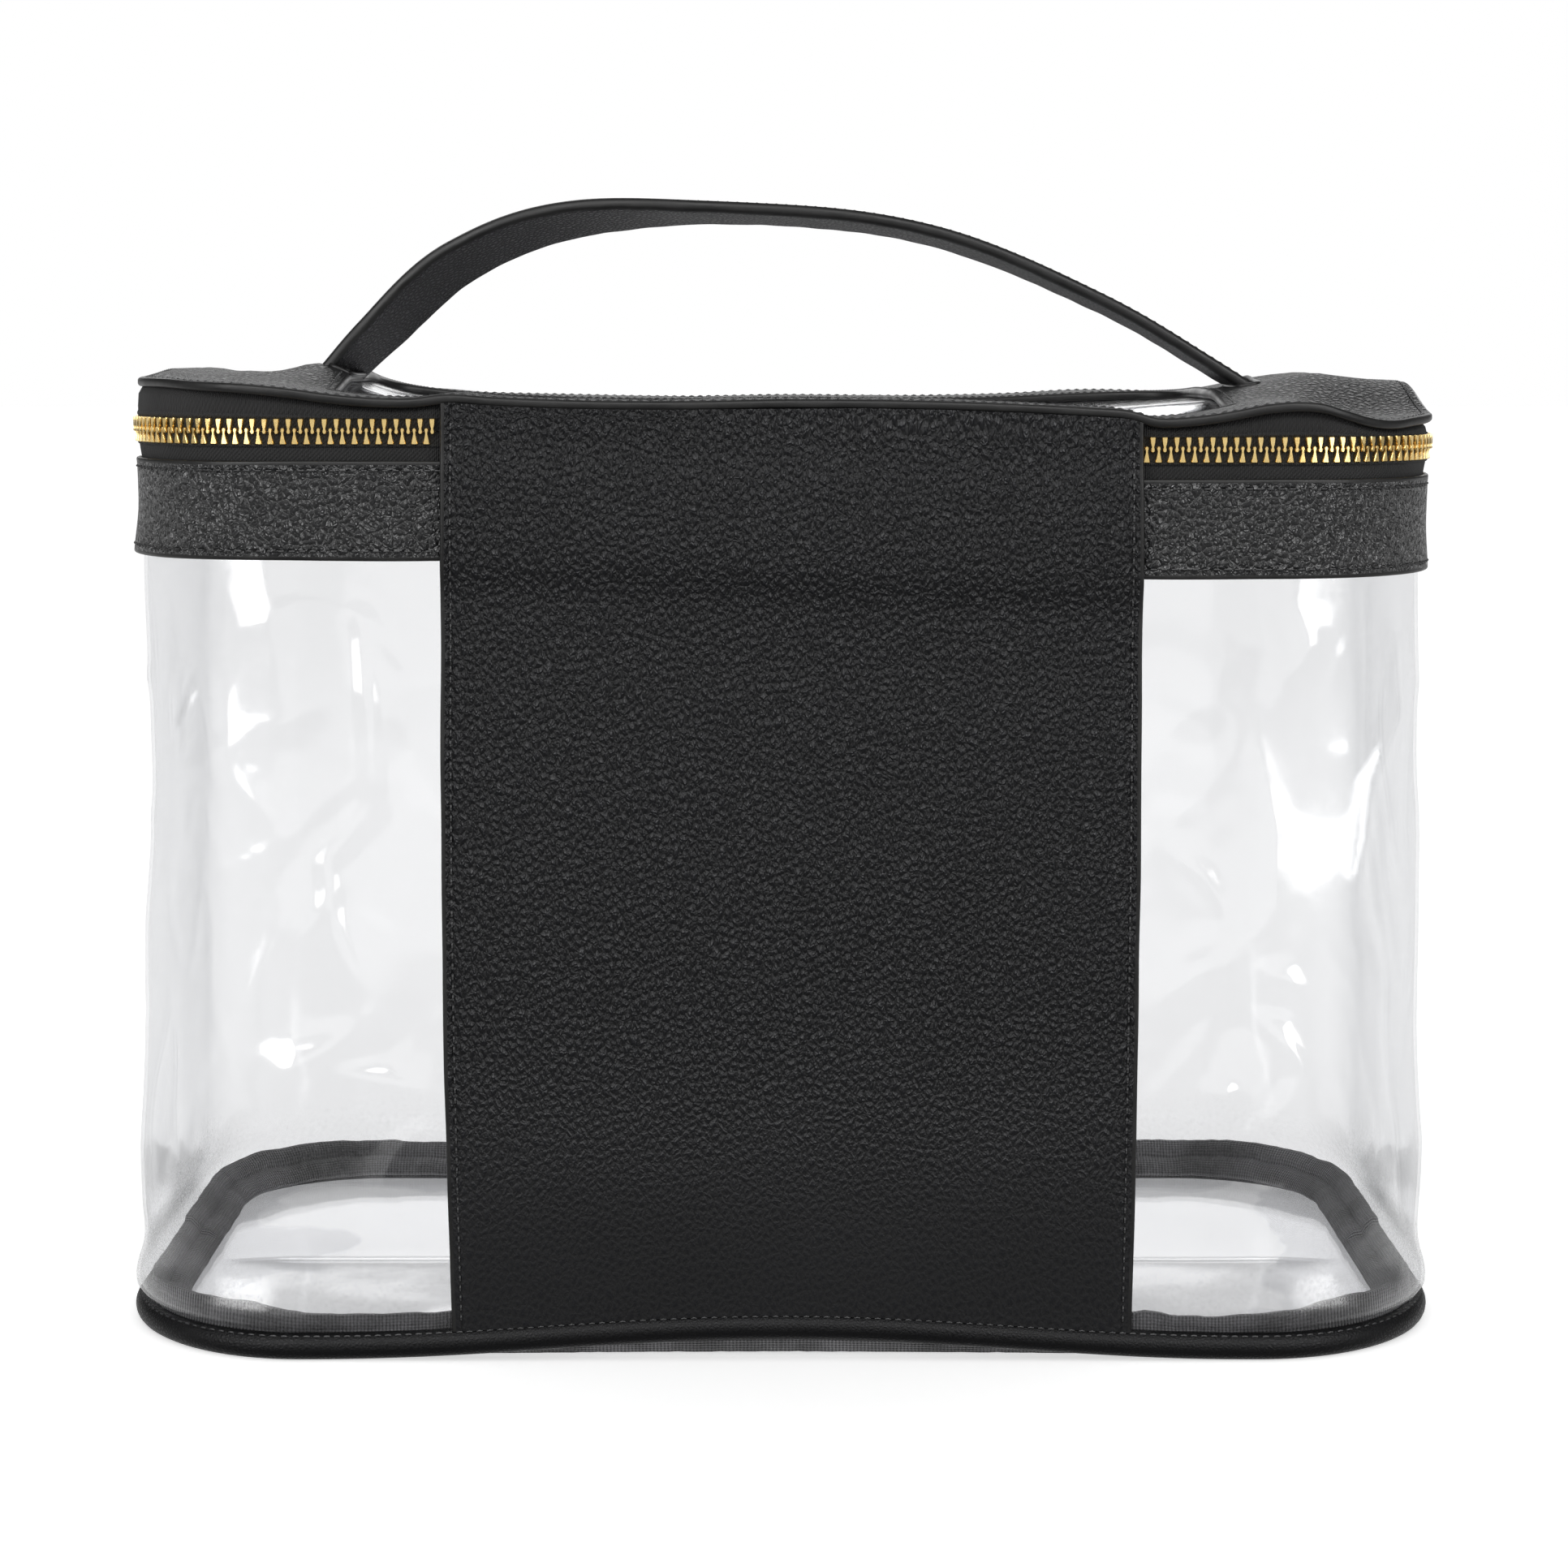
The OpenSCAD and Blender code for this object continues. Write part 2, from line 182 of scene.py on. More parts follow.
def lean(z):
    """How far the wall stands out at a height."""
    return FLARE * np.clip(1 - z / FLARE_TOP, 0, 1)


# How far the lid has lifted along its hinge side, its middle and its opening side: (x, height) in millimetres
LID_NEAR = [(-147, 5), (-135, 5), (-126, 4.4), (-116, 3.9), (-106, 3), (-96, 1.7), (-86, 0.9), (-79, 0.8),
            (-71, 1.7), (-62, 1.1), (-29, 0.2), (5, 0.6), (35, 0.2), (66, -1.2), (75, -1.9), (80, -3.3),
            (87, -3.2), (96, -2), (104, -0.5), (111, 0), (116, -0.4), (121, -1.8), (128, -3.6), (133, -4),
            (139, -3.4), (147, -2.6)]
LID_MIDDLE = [(-147, 5), (-142, 6.6), (-138, 6.8), (-133, 5.9), (-125, 5.9), (-119, 5.6), (-113, 6),
              (-108, 7.2), (-104, 7), (-99, 5), (-92, 2.8), (-85, 1.6), (-60, -0.6), (0, -1.3), (60, -0.8),
              (85, 0.4), (100, 1.6), (109, 3), (118, 4.6), (124, 5.4), (130, 4.9), (138, 4.2), (147, 3.6)]
LID_FAR = [(-147, 1.5), (-107, 2.7), (-94, 1.4), (-82, 0.4), (-56, -0.4), (-25, -0.9), (0, -0.5), (33, -0.7),
           (58, -0.2), (77, 0.8), (106, 0.2), (147, 1)]
# Lumps over the strap's ends: (x, y, height, radius) in millimetres
LID_LUMPS = [(-111, -9, 1.3, 6), (114, 10, 1.1, 7)]


def lid_pull(x):
    """How far the lid's edge has drawn in at the ends, which is more on the left."""
    most = np.where(x < 0, 2.7 * MM, 0.7 * MM)
    return most * smooth(np.abs(x), 112 * MM, 143 * MM)


def lid_rise(x, y):
    """How far the lid's soft leather has lifted or dropped at a place."""
    near = 1 - smooth(y, -42 * MM, -8 * MM)
    far = smooth(y, 25 * MM, 77 * MM)
    lumps = 0
    for lump_x, lump_y, height, radius in LID_LUMPS:
        away = np.hypot(x - lump_x * MM, y - lump_y * MM)
        lumps = lumps + height * MM * np.exp(-(away / (radius * MM)) ** 2)
    return (near * curve_through(LID_NEAR, x) + far * curve_through(LID_FAR, x)
            + (1 - near - far) * curve_through(LID_MIDDLE, x) + lumps)


def rise(x, y, z, arch=1.0):
    """How far a point of the new case has moved up: the base arches and the rim tilts on the hinge side."""
    hinge_side = smooth(-y, -10 * MM, 40 * MM)
    tilt = -RIM_TILT * np.sin(np.clip(x / RIM_TILT_HALF_W, -1, 1) * math.pi / 2) * hinge_side
    bow = BASE_ARCH * np.cos(np.clip(x / BASE_ARCH_HALF_W, -1, 1) * math.pi / 2) ** 2
    bow = bow * smooth(-y, 46 * MM, 74 * MM) * (1 - smooth(z, 4 * MM, 60 * MM)) * arch
    to_lid = smooth(z, 204 * MM, 208 * MM)
    return bow + tilt * smooth(z, 60 * MM, 165 * MM) * (1 - to_lid) + lid_rise(x, y) * to_lid


def bell(value, middle, width):
    """1 at the middle, falling smoothly to nothing each way."""
    return np.exp(-((value - middle) / width) ** 2)


def stand(x, y, z):
    """How far the ends of the case have bulged or sunk; the left end has moved more."""
    end = smooth(np.abs(x), 116 * MM, 143 * MM) * smooth(-y, -50 * MM, 30 * MM)
    left = smooth(-x, 120 * MM, 140 * MM)
    at_zip = ZIP_BULGE * (1 - 0.2 * left) * bell(z, ZIP_Z, 4.5 * MM)
    at_band = -BAND_TUCK * (1 + left) * smooth(z, 172 * MM, 186 * MM)
    hollow = -WALL_HOLLOW * left * bell(z, 118 * MM, 34 * MM)
    foot = (FOOT_BULGE + 0.5 * MM * left) * bell(z, 38 * MM, 19 * MM)
    return end * (at_zip + at_band + hollow + foot)


def place(s, out, z, arch=1.0):
    """Points of the used case: s round the rim, out from it, at height z. Returns an array of (x, y, z)."""
    s, out, z = np.broadcast_arrays(s, out, z)
    x, y, nx, ny = outline(s)
    away = out + lean(z) + stand(x, y, z)
    return np.stack([x + nx * away, y + ny * away, z + rise(x, y, z, arch)], -1)


# ---------------------------------------------------------------- mesh makers

def mesh_piece(name, points, faces, materials, corner_uv=None, zones=None, sharp=50):
    """A mesh object from points and faces, with a UV map in metres and a material index for each face."""
    mesh = bpy.data.meshes.new(name)
    mesh.from_pydata([tuple(p) for p in points], [], [tuple(f) for f in faces])
    for m in materials:
        mesh.materials.append(m)
    if zones is not None:
        mesh.polygons.foreach_set("material_index", np.asarray(zones, np.int32))
    layer = mesh.uv_layers.new(name="run")
    if corner_uv is not None:
        layer.data.foreach_set("uv", np.asarray(corner_uv, np.float32).ravel())
    work = bmesh.new()
    work.from_mesh(mesh)
    bmesh.ops.recalc_face_normals(work, faces=work.faces)
    work.to_mesh(mesh)
    work.free()
    mesh.shade_smooth()
    mesh.set_sharp_from_angle(angle=math.radians(sharp))
    piece = bpy.data.objects.new(name, mesh)
    bpy.context.scene.collection.objects.link(piece)
    return piece


def loft(name, grid, materials, along, zones=None, ring=True, planar=False):
    """Mesh over a grid of points: rows run along the piece, columns go round its closed section.
    Without ring, both ends are closed. planar lays the UV map flat from above."""
    rows, cols = grid.shape[:2]
    last = rows if ring else rows - 1
    r = np.arange(last)[:, None]
    c = np.arange(cols)[None, :]
    r2, c2 = (r + 1) % rows, (c + 1) % cols
    faces = np.stack(np.broadcast_arrays(r * cols + c, r * cols + c2, r2 * cols + c2, r2 * cols + c), -1)
    faces = faces.reshape(-1, 4)
    points = grid.reshape(-1, 3)
    if planar:
        corner_uv = points[faces][..., :2].reshape(-1, 2)
    else:
        steps = np.linalg.norm(np.roll(grid[0], -1, 0) - grid[0], axis=1)
        across = np.concatenate([[0], np.cumsum(steps)])
        u = np.stack(np.broadcast_arrays(along[r], along[r], along[r + 1], along[r + 1]), -1)
        v = np.stack([across[c], across[c + 1], across[c + 1], across[c]], -1)
        u, v = np.broadcast_arrays(np.broadcast_to(u, (last, 1, 4)), v)
        corner_uv = np.stack([u, v], -1).reshape(-1, 2)
    face_list = faces.tolist()
    zone_list = np.tile(zones if zones is not None else np.zeros(cols, int), last).tolist()
    if not ring:
        for row in (0, rows - 1):
            face_list.append([row * cols + k for k in range(cols)])
            zone_list.append(max(zone_list))
            flat = grid[row][:, :2] if planar else np.zeros((cols, 2))
            corner_uv = np.concatenate([corner_uv, flat])
    return mesh_piece(name, points, face_list, materials, corner_uv, zone_list)


def scattered(name, template, centres, axes, materials):
    """One mesh of many copies of a template (points, faces), each at a centre with its own three axes."""
    shape, shape_faces = template
    points = centres[:, None, :] + np.einsum("vk,nkj->nvj", shape, axes)
    count = len(shape)
    faces = [[i * count + k for k in f] for i in range(len(centres)) for f in shape_faces]
    piece = mesh_piece(name, points.reshape(-1, 3), faces, materials, sharp=40)
    flat = np.tile(shape[:, :2], (len(centres), 1))
    loops = np.zeros(len(piece.data.loops), np.int32)
    piece.data.loops.foreach_get("vertex_index", loops)
    piece.data.uv_layers["run"].data.foreach_set("uv", flat[loops].astype(np.float32).ravel())
    return piece


def layered_faces(layers, count):
    """Faces of a closed body made of layers of the same number of points."""
    faces = []
    for start in range(0, (layers - 1) * count, count):
        for k in range(count):
            k2 = (k + 1) % count
            faces.append([start + k, start + k2, start + count + k2, start + count + k])
    return faces + [list(range(count)), list(range((layers - 1) * count, layers * count))]


FURROW_W = 0.45 * MM
FURROW_DEEP = 0.25 * MM


def section(width, thick, furrows=(), paint=0.9 * MM, step=2.5 * MM):
    """Closed section of a leather strip, as (across, depth) points and a zone for each side between them:
    0 grain, 1 painted edge, 2 underside. Furrows are places across where a row of stitches sinks in."""
    half, r = width / 2, thick * 0.42
    flat = half - r
    marks = list(np.linspace(-flat, flat, max(3, int(2 * flat / step))))
    marks += [f + k * FURROW_W for f in furrows for k in (-1, 0, 1)]
    marks += [-half + paint, half - paint]
    top = [(a, -FURROW_DEEP * max([0] + [1 - abs(a - f) / FURROW_W for f in furrows])) for a in sorted(marks)]
    turn = np.radians([75, 55, 35, 15])
    right = [(flat + r * math.cos(t), -r + r * math.sin(t)) for t in turn]
    right += [(flat + r * math.cos(t), -thick + r - r * math.sin(t)) for t in turn[::-1]]
    under = [(a, -thick) for a in np.linspace(flat, -flat, max(3, int(2 * flat / step)))]
    left = [(-a, d) for a, d in right[::-1]]
    points = np.array(top + right + under + left)
    middle = (points + np.roll(points, -1, 0)) / 2
    zones = np.where(np.abs(middle[:, 0]) > half - paint, 1, np.where(middle[:, 1] < -thick / 2, 2, 0))
    return points[:, 0], points[:, 1], zones


def stadium(radius_a, radius_b, count):
    """Closed oval section, as (across, up) points."""
    t = np.linspace(0, 2 * math.pi, count, endpoint=False)
    return radius_a * np.cos(t), radius_b * np.sin(t)


def stitch_template():
    """A short thread along the first axis that dips into the leather at both ends."""
    half = [(0.62, 0.02, 0.2), (0.86, -0.32, 0.1)]
    stations = [(-a, lift, r) for a, lift, r in half[::-1]] + [(0, 0.14, 0.23)] + half
    turn = np.linspace(0, 2 * math.pi, 6, endpoint=False)
    points = [(a, lift + r * math.cos(t), r * math.sin(t)) for a, lift, r in stations for t in turn]
    return np.array(points) * MM, layered_faces(len(stations), len(turn))


STITCH = stitch_template()


def stitched(name, rows, closed=False):
    """Stitches along rows of (points, outward directions)."""
    centres, axes = [], []
    for points, outward in rows:
        ahead = np.roll(points, -1, 0) - np.roll(points, 1, 0) if closed else np.gradient(points, axis=0)
        along = ahead / np.linalg.norm(ahead, axis=1)[:, None]
        outward = outward - along * (outward * along).sum(1)[:, None]
        outward = outward / np.linalg.norm(outward, axis=1)[:, None]
        centres.append(points)
        axes.append(np.stack([along, outward, np.cross(along, outward)], 1))
    return scattered(name, STITCH, np.concatenate(centres), np.concatenate(axes), [thread])


def spaced(total, pitch=STITCH_PITCH):
    """Even places along a length, at the stitch pitch."""
    count = int(total / pitch)
    return (np.arange(count) + 0.5) * total / count


def tube(name, path, radius, material, closed=False, sides=14):
    """Round wire along a path of points."""
    path = np.array(path, float)
    ahead = np.roll(path, -1, 0) - np.roll(path, 1, 0) if closed else np.gradient(path, axis=0)
    ahead /= np.linalg.norm(ahead, axis=1)[:, None]
    side = np.cross(ahead, [0.3, 0.2, 0.93])
    side /= np.linalg.norm(side, axis=1)[:, None]
    other = np.cross(ahead, side)
    a, b = stadium(radius, radius, sides)
    grid = path[:, None] + side[:, None] * a[None, :, None] + other[:, None] * b[None, :, None]
    along = np.arange(len(path) + 1) * np.linalg.norm(path[1] - path[0])
    return loft(name, grid, [material], along, ring=closed)


def plate(name, points, low, high, to_world, material, bevel=0.25 * MM):
    """Flat part with an outline of (a, b) points between two heights, with bevelled edges."""
    shape = [to_world(a, b, level) for level in (low, high) for a, b in points]
    piece = mesh_piece(name, shape, layered_faces(2, len(points)), [material], sharp=70)
    rounder = piece.modifiers.new("rounded", "BEVEL")
    rounder.width = bevel
    rounder.segments = 3
    rounder.angle_limit = math.radians(40)
    return piece


def clear_plate(name, shape, low, high, nx, ny, material, height_at):
    """Thin closed sheet with a rounded-rectangle outline, warped by height_at(x, y, z)."""
    cx, cy, r = shape
    x = (cx + r * 0.999) * np.sin(np.linspace(-1, 1, nx) * math.pi / 2)
    half = cy + np.sqrt(np.maximum(r * r - np.maximum(np.abs(x) - cx, 0) ** 2, 0))
    y = np.linspace(-1, 1, ny)[None, :] * half[:, None]
    x = np.broadcast_to(x[:, None], y.shape)
    top = np.stack([x, y, height_at(x, y, np.full_like(y, high))], -1)
    under = np.stack([x, y, height_at(x, y, np.full_like(y, low))], -1)[:, ::-1]
    grid = np.concatenate([top, under], 1)
    return loft(name, grid, [material], x[:, 0], ring=False, planar=True)


def finish_piece(piece, body=None, replaces=(), blend=None):
    """Puts a piece on its body, in place of its CAD nodes."""
    if replaces:
        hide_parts(*replaces)
    if blend:
        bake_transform(piece)
    else:
        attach(piece, body)
    return piece


# ---------------------------------------------------------------- materials

class Look:
    """A node material, built a node at a time."""

    def __init__(self, name):
        self.material = bpy.data.materials.new(name)
        self.material.use_nodes = True
        self.tree = self.material.node_tree
        self.tree.nodes.clear()

    def node(self, kind, inputs=None, **settings):
        made = self.tree.nodes.new(kind)
        for key, value in settings.items():
            setattr(made, key, value)
        for key, value in (inputs or {}).items():
            if isinstance(value, bpy.types.NodeSocket):
                self.tree.links.new(value, made.inputs[key])
            else:
                made.inputs[key].default_value = value
        return made

    def math(self, operation, *values):
        made = self.node("ShaderNodeMath", operation=operation)
        for socket, value in zip(made.inputs, values):
            if isinstance(value, bpy.types.NodeSocket):
                self.tree.links.new(value, socket)
            else:
                socket.default_value = value
        return made.outputs[0]

    def run(self):
        """Position along and across the piece, in metres."""
        return self.node("ShaderNodeUVMap", uv_map="run").outputs["UV"]

    def solid(self):
        """Position in space, in metres."""
        return self.node("ShaderNodeTexCoord").outputs["Object"]

    def noise(self, where, scale, detail=3.0, roughness=0.55):
        return self.node("ShaderNodeTexNoise",
                         {"Vector": where, "Scale": scale, "Detail": detail, "Roughness": roughness})

    def between(self, value, low, high, to_low=0.0, to_high=1.0):
        return self.node("ShaderNodeMapRange", {"Value": value, "From Min": low, "From Max": high,
                                                "To Min": to_low, "To Max": to_high},
                         interpolation_type="SMOOTHSTEP").outputs["Result"]

    def mix(self, factor, dark, light):
        made = self.node("ShaderNodeMix", data_type="RGBA")
        for socket, value in ((made.inputs[0], factor), (made.inputs[6], dark), (made.inputs[7], light)):
            if isinstance(value, bpy.types.NodeSocket):
                self.tree.links.new(value, socket)
            else:
                socket.default_value = value if isinstance(value, float) else (*value, 1)
        return made.outputs[2]

    def bump(self, height, distance, strength=1.0, normal=None):
        inputs = {"Height": height, "Distance": distance, "Strength": strength}
        if normal is not None:
            inputs["Normal"] = normal
        return self.node("ShaderNodeBump", inputs).outputs["Normal"]

    def surface(self, **inputs):
        """Ends the material in a Principled shader. Names use _ for a space."""
        shader = self.node("ShaderNodeBsdfPrincipled", {k.replace("_", " "): v for k, v in inputs.items()})
        self.end(shader.outputs[0])
        return self.material

    def end(self, shader):
        self.node("ShaderNodeOutputMaterial", {"Surface": shader})


def leather_look(name, pebble, depth, crease_shade, top, shine=0.42, stretch=(1.0, 1.0), gloss=0.26):
    """Pebbled leather: warped cells with creases between, finer wrinkles on them and uneven dye; the creases
    take a darker colour as painted shade.
    """
    look = Look(name)
    # Turned a little and stretched, so that the pebbles lie long and slanting
    where = look.node("ShaderNodeMapping", {"Vector": look.run(), "Rotation": (0, 0, 0.3),
                                            "Scale": (*stretch, 1)}).outputs[0]
    drift = look.noise(where, 260).outputs["Color"]
    drift = look.node("ShaderNodeVectorMath", {0: drift, 1: (0.5, 0.5, 0.5)}, operation="SUBTRACT").outputs[0]
    drift = look.node("ShaderNodeVectorMath", {0: drift, "Scale": 1.5 * MM}, operation="SCALE").outputs[0]
    warped = look.node("ShaderNodeVectorMath", {0: where, 1: drift}, operation="ADD").outputs[0]
    cells = look.node("ShaderNodeTexVoronoi", {"Vector": warped, "Scale": 1 / pebble, "Randomness": 1.0},
                      feature="DISTANCE_TO_EDGE", voronoi_dimensions="2D").outputs["Distance"]
    small = look.node("ShaderNodeTexVoronoi", {"Vector": warped, "Scale": 2.1 / pebble, "Randomness": 1.0},
                      feature="DISTANCE_TO_EDGE", voronoi_dimensions="2D").outputs["Distance"]
    domes = look.between(cells, 0, 0.5)
    bits = look.between(small, 0, 0.3)
    fine = look.noise(where, 2600, 2).outputs["Fac"]
    height = look.math("MULTIPLY_ADD", domes, 0.72, look.math("MULTIPLY", bits, 0.22))
    height = look.math("MULTIPLY_ADD", fine, 0.1, height)
    worn = look.node("ShaderNodeAttribute", attribute_name="pressed_flat").outputs["Fac"]
    relief = look.math("SUBTRACT", 1.0, worn)
    broad = look.noise(look.solid(), 45, 3).outputs["Fac"]
    tone = look.math("MULTIPLY", height, look.between(broad, 0.3, 0.7, 0.72, 1.0))
    normal = look.bump(broad, 0.5 * MM, 0.35)
    normal = look.bump(height, depth, relief, normal)
    # The low places between the pebbles take the first colour: painted shade in the creases.
    return look.surface(Base_Color=look.mix(tone, crease_shade, top), Normal=normal, Specular_IOR_Level=gloss,
                        Roughness=look.between(height, 0.1, 0.9, shine + 0.2, shine))


def paint_look():
    """Edge paint on cut leather: smooth, slightly wavy and blotchy."""
    look = Look("edge_paint")
    where = look.solid()
    waves = look.noise(where, 420, 2).outputs["Fac"]
    blotch = look.noise(where, 90, 3).outputs["Fac"]
    return look.surface(Base_Color=look.mix(blotch, (0.006, 0.006, 0.0062), (0.016, 0.0155, 0.015)),
                        Roughness=look.between(blotch, 0.3, 0.7, 0.36, 0.52),
                        Normal=look.bump(waves, 0.12 * MM, 0.7), Specular_IOR_Level=0.28)


# The wave texture's scale that gives one band a metre
BAND_A_METRE = 2 * math.pi / 20


def woven_look(name, thread_a, thread_b, dark, light, depth, roughness, slant=False, sheen=0.15, wear=0.6):
    """Cloth with threads both ways at two pitches; slant makes the diagonal lines of a twill, and wear is how
    light the most worn places stay. The low places between the threads take the dark colour, as painted
    shade."""
    look = Look(name)
    where = look.run()

    def threads(pitch, direction):
        return look.node("ShaderNodeTexWave", {"Vector": where, "Scale": BAND_A_METRE / pitch, "Detail": 1.0,
                                               "Distortion": 0.6}, bands_direction=direction).outputs["Fac"]

    along = threads(thread_a, "X")
    across = threads(thread_b, "DIAGONAL" if slant else "Y")
    height = look.math("MULTIPLY_ADD", along, 0.65, look.math("MULTIPLY", across, 0.35))
    fuzz = look.noise(where, 1900, 3).outputs["Fac"]
    height = look.math("MULTIPLY_ADD", fuzz, 0.25, height)
    fade = look.noise(look.solid(), 60, 3).outputs["Fac"]
    tone = look.math("MULTIPLY", height, look.between(fade, 0.36, 0.64, wear, 1.0))
    # Low places between the threads get the dark colour: painted shade of the weave.
    return look.surface(Base_Color=look.mix(tone, dark, light), Roughness=roughness, Sheen_Weight=sheen,
                        Normal=look.bump(height, depth, 0.9), Specular_IOR_Level=0.3)


def gold_look():
    """Plated zip metal with faint polishing marks and tarnish."""
    look = Look("gold")
    where = look.solid()
    marks = look.noise(where, 700, 4, 0.7).outputs["Fac"]
    tarnish = look.noise(where, 130, 3).outputs["Fac"]
    colour = look.mix(tarnish, (0.78, 0.54, 0.19), (0.93, 0.72, 0.34))
    return look.surface(Base_Color=colour, Metallic=1.0, Roughness=look.between(marks, 0.3, 0.7, 0.2, 0.34),
                        Normal=look.bump(marks, 0.03 * MM, 0.5))


def thread_look():
    """Black sewing thread with its twist."""
    look = Look("thread")
    twist = look.node("ShaderNodeTexWave", {"Vector": look.run(), "Scale": BAND_A_METRE / (0.35 * MM)},
                      bands_direction="DIAGONAL").outputs["Fac"]
    speck = look.noise(look.solid(), 500, 2).outputs["Fac"]
    colour = look.mix(speck, (0.006, 0.006, 0.006), (0.03, 0.03, 0.032))
    return look.surface(Base_Color=colour, Roughness=0.55, Normal=look.bump(twist, 0.05 * MM, 0.8))


def edge_on(look):
    """How nearly a surface is seen edge-on, from 0 to 1."""
    facing = look.node("ShaderNodeLayerWeight", {"Blend": 0.5}).outputs["Facing"]
    return look.math("POWER", facing, 4.0)


def see_through(look, tone, roughness, normal, share):
    """Ends a look in a see-through shader of one tone under a share of white gloss."""
    through = look.node("ShaderNodeBsdfTransparent", {"Color": tone})
    gloss = {"Color": (1, 1, 1, 1), "Roughness": roughness, "Normal": normal}
    gloss = look.node("ShaderNodeBsdfGlossy", gloss)
    both = look.node("ShaderNodeMixShader", {0: share, 1: through.outputs[0], 2: gloss.outputs[0]})
    look.end(both.outputs[0])
    return look.material


def clear_look(name, tint, edge_tint, haze):
    """Clear soft vinyl: see-through, greyer where it is seen edge-on, duller near the floor, with a soft wavy
    gloss and faint scuffs."""
    look = Look(name)
    where = look.solid()
    rim = edge_on(look)
    waves = look.noise(where, 38, 2, 0.4).outputs["Fac"]
    scuff = look.noise(where, 900, 4, 0.7).outputs["Fac"]
    height = look.node("ShaderNodeSeparateXYZ", {0: where}).outputs["Z"]
    dull = look.math("ADD", look.between(scuff, 0.4, 0.7, 0.07, 0.07 + haze),
                     look.between(height, 14 * MM, 34 * MM, 0.12, 0.0))
    return see_through(look, look.mix(rim, tint, edge_tint), dull, look.bump(waves, 1.1 * MM, 0.55),
                       look.math("MULTIPLY_ADD", rim, 0.6, 0.05))


def base_look():
    """Clear vinyl of the base, with greyer patches, more of them towards its edges near the binding: painted
    shade and a painted reflection of the binding.
    """
    look = Look("base_vinyl")
    where = look.solid()
    parts = look.node("ShaderNodeSeparateXYZ", {0: where}).outputs
    to_end = look.between(look.math("ABSOLUTE", parts["X"]), 96 * MM, 146 * MM)
    to_side = look.between(look.math("ABSOLUTE", parts["Y"]), 36 * MM, 78 * MM)
    edge = look.math("MAXIMUM", to_end, to_side)
    patches = look.math("MULTIPLY_ADD", edge, 0.36, look.noise(where, 22, 3, 0.45).outputs["Fac"])
    # Greyer tint in the patches: painted shade and a painted reflection of the binding on the base.
    shade_patches = look.between(patches, 0.68, 0.705)
    tone = look.mix(shade_patches, (0.985, 0.986, 0.99), (0.9, 0.902, 0.912))
    waves = look.noise(where, 30, 3, 0.5).outputs["Fac"]
    return see_through(look, tone, 0.06, look.bump(waves, 0.3 * MM, 0.4),
                       look.math("MULTIPLY_ADD", edge_on(look), 0.5, 0.04))


def floor_look():
    """White floor with a little light of its own, like a light table."""
    look = Look("floor")
    speck = look.noise(look.solid(), 30, 3).outputs["Fac"]
    colour = look.mix(speck, (0.86, 0.86, 0.86), (0.88, 0.88, 0.88))
    return look.surface(Base_Color=colour, Roughness=0.8, Specular_IOR_Level=0.1, Emission_Color=(1, 1, 1, 1),
                        Emission_Strength=0.56)


# The first colour of each leather is painted shade in its creases.
leather = leather_look("leather", 1.8 * MM, 0.6 * MM, (0.002, 0.002, 0.0026), (0.009, 0.0094, 0.0118),
                       0.36, stretch=(0.76, 1.24))
# The band's leather is the leather painted lighter: a lit copy, for the light the band catches.
lit_band_leather = leather_look("lit_band_leather", 2.1 * MM, 1.35 * MM, (0.002, 0.002, 0.0026),
                            (0.027, 0.0274, 0.0295), 0.27, stretch=(1.06, 0.92), gloss=0.8)
lid_leather = leather_look("lid_leather", 1.8 * MM, 0.6 * MM, (0.002, 0.002, 0.0025), (0.009, 0.0092, 0.0108))
strap_leather = leather_look("strap_leather", 1.25 * MM, 0.24 * MM, (0.006, 0.006, 0.007),
                             (0.02, 0.0195, 0.022))
backing = leather_look("leather_back", 2.6 * MM, 0.08 * MM, (0.004, 0.004, 0.0045), (0.009, 0.009, 0.0095),
                       0.5)
piping_skin = leather_look("piping_skin", 0.9 * MM, 0.07 * MM, (0.002, 0.002, 0.0025), (0.005, 0.005, 0.006),
                           0.34, gloss=0.16)
edge_paint = paint_look()
twill = woven_look("zip_tape", 0.45 * MM, 0.5 * MM, (0.0015, 0.0015, 0.0015), (0.015, 0.0145, 0.015),
                   0.35 * MM, 0.75, slant=True, sheen=0.04)
ribbed = woven_look("binding", 0.8 * MM, 0.6 * MM, (0.004, 0.004, 0.0044), (0.22, 0.217, 0.23), 0.6 * MM, 0.7,
                    sheen=0.4, wear=0.3)
lining = woven_look("lining", 0.4 * MM, 0.4 * MM, (0.008, 0.008, 0.009), (0.026, 0.026, 0.028), 0.08 * MM,
                    0.85)
thread = thread_look()
gold = gold_look()
vinyl = clear_look("clear_vinyl", (0.958, 0.959, 0.962), (0.83, 0.835, 0.845), 0.16)
window_vinyl = clear_look("window_vinyl", (0.955, 0.957, 0.968), (0.8, 0.81, 0.84), 0.1)
base_vinyl = base_look()
floor_white = floor_look()

# ---------------------------------------------------------------- clear wall

STATIONS = 420
around = np.linspace(-ROUND / 2, ROUND / 2, STATIONS, endpoint=False)
around_closed = np.append(around, ROUND / 2)

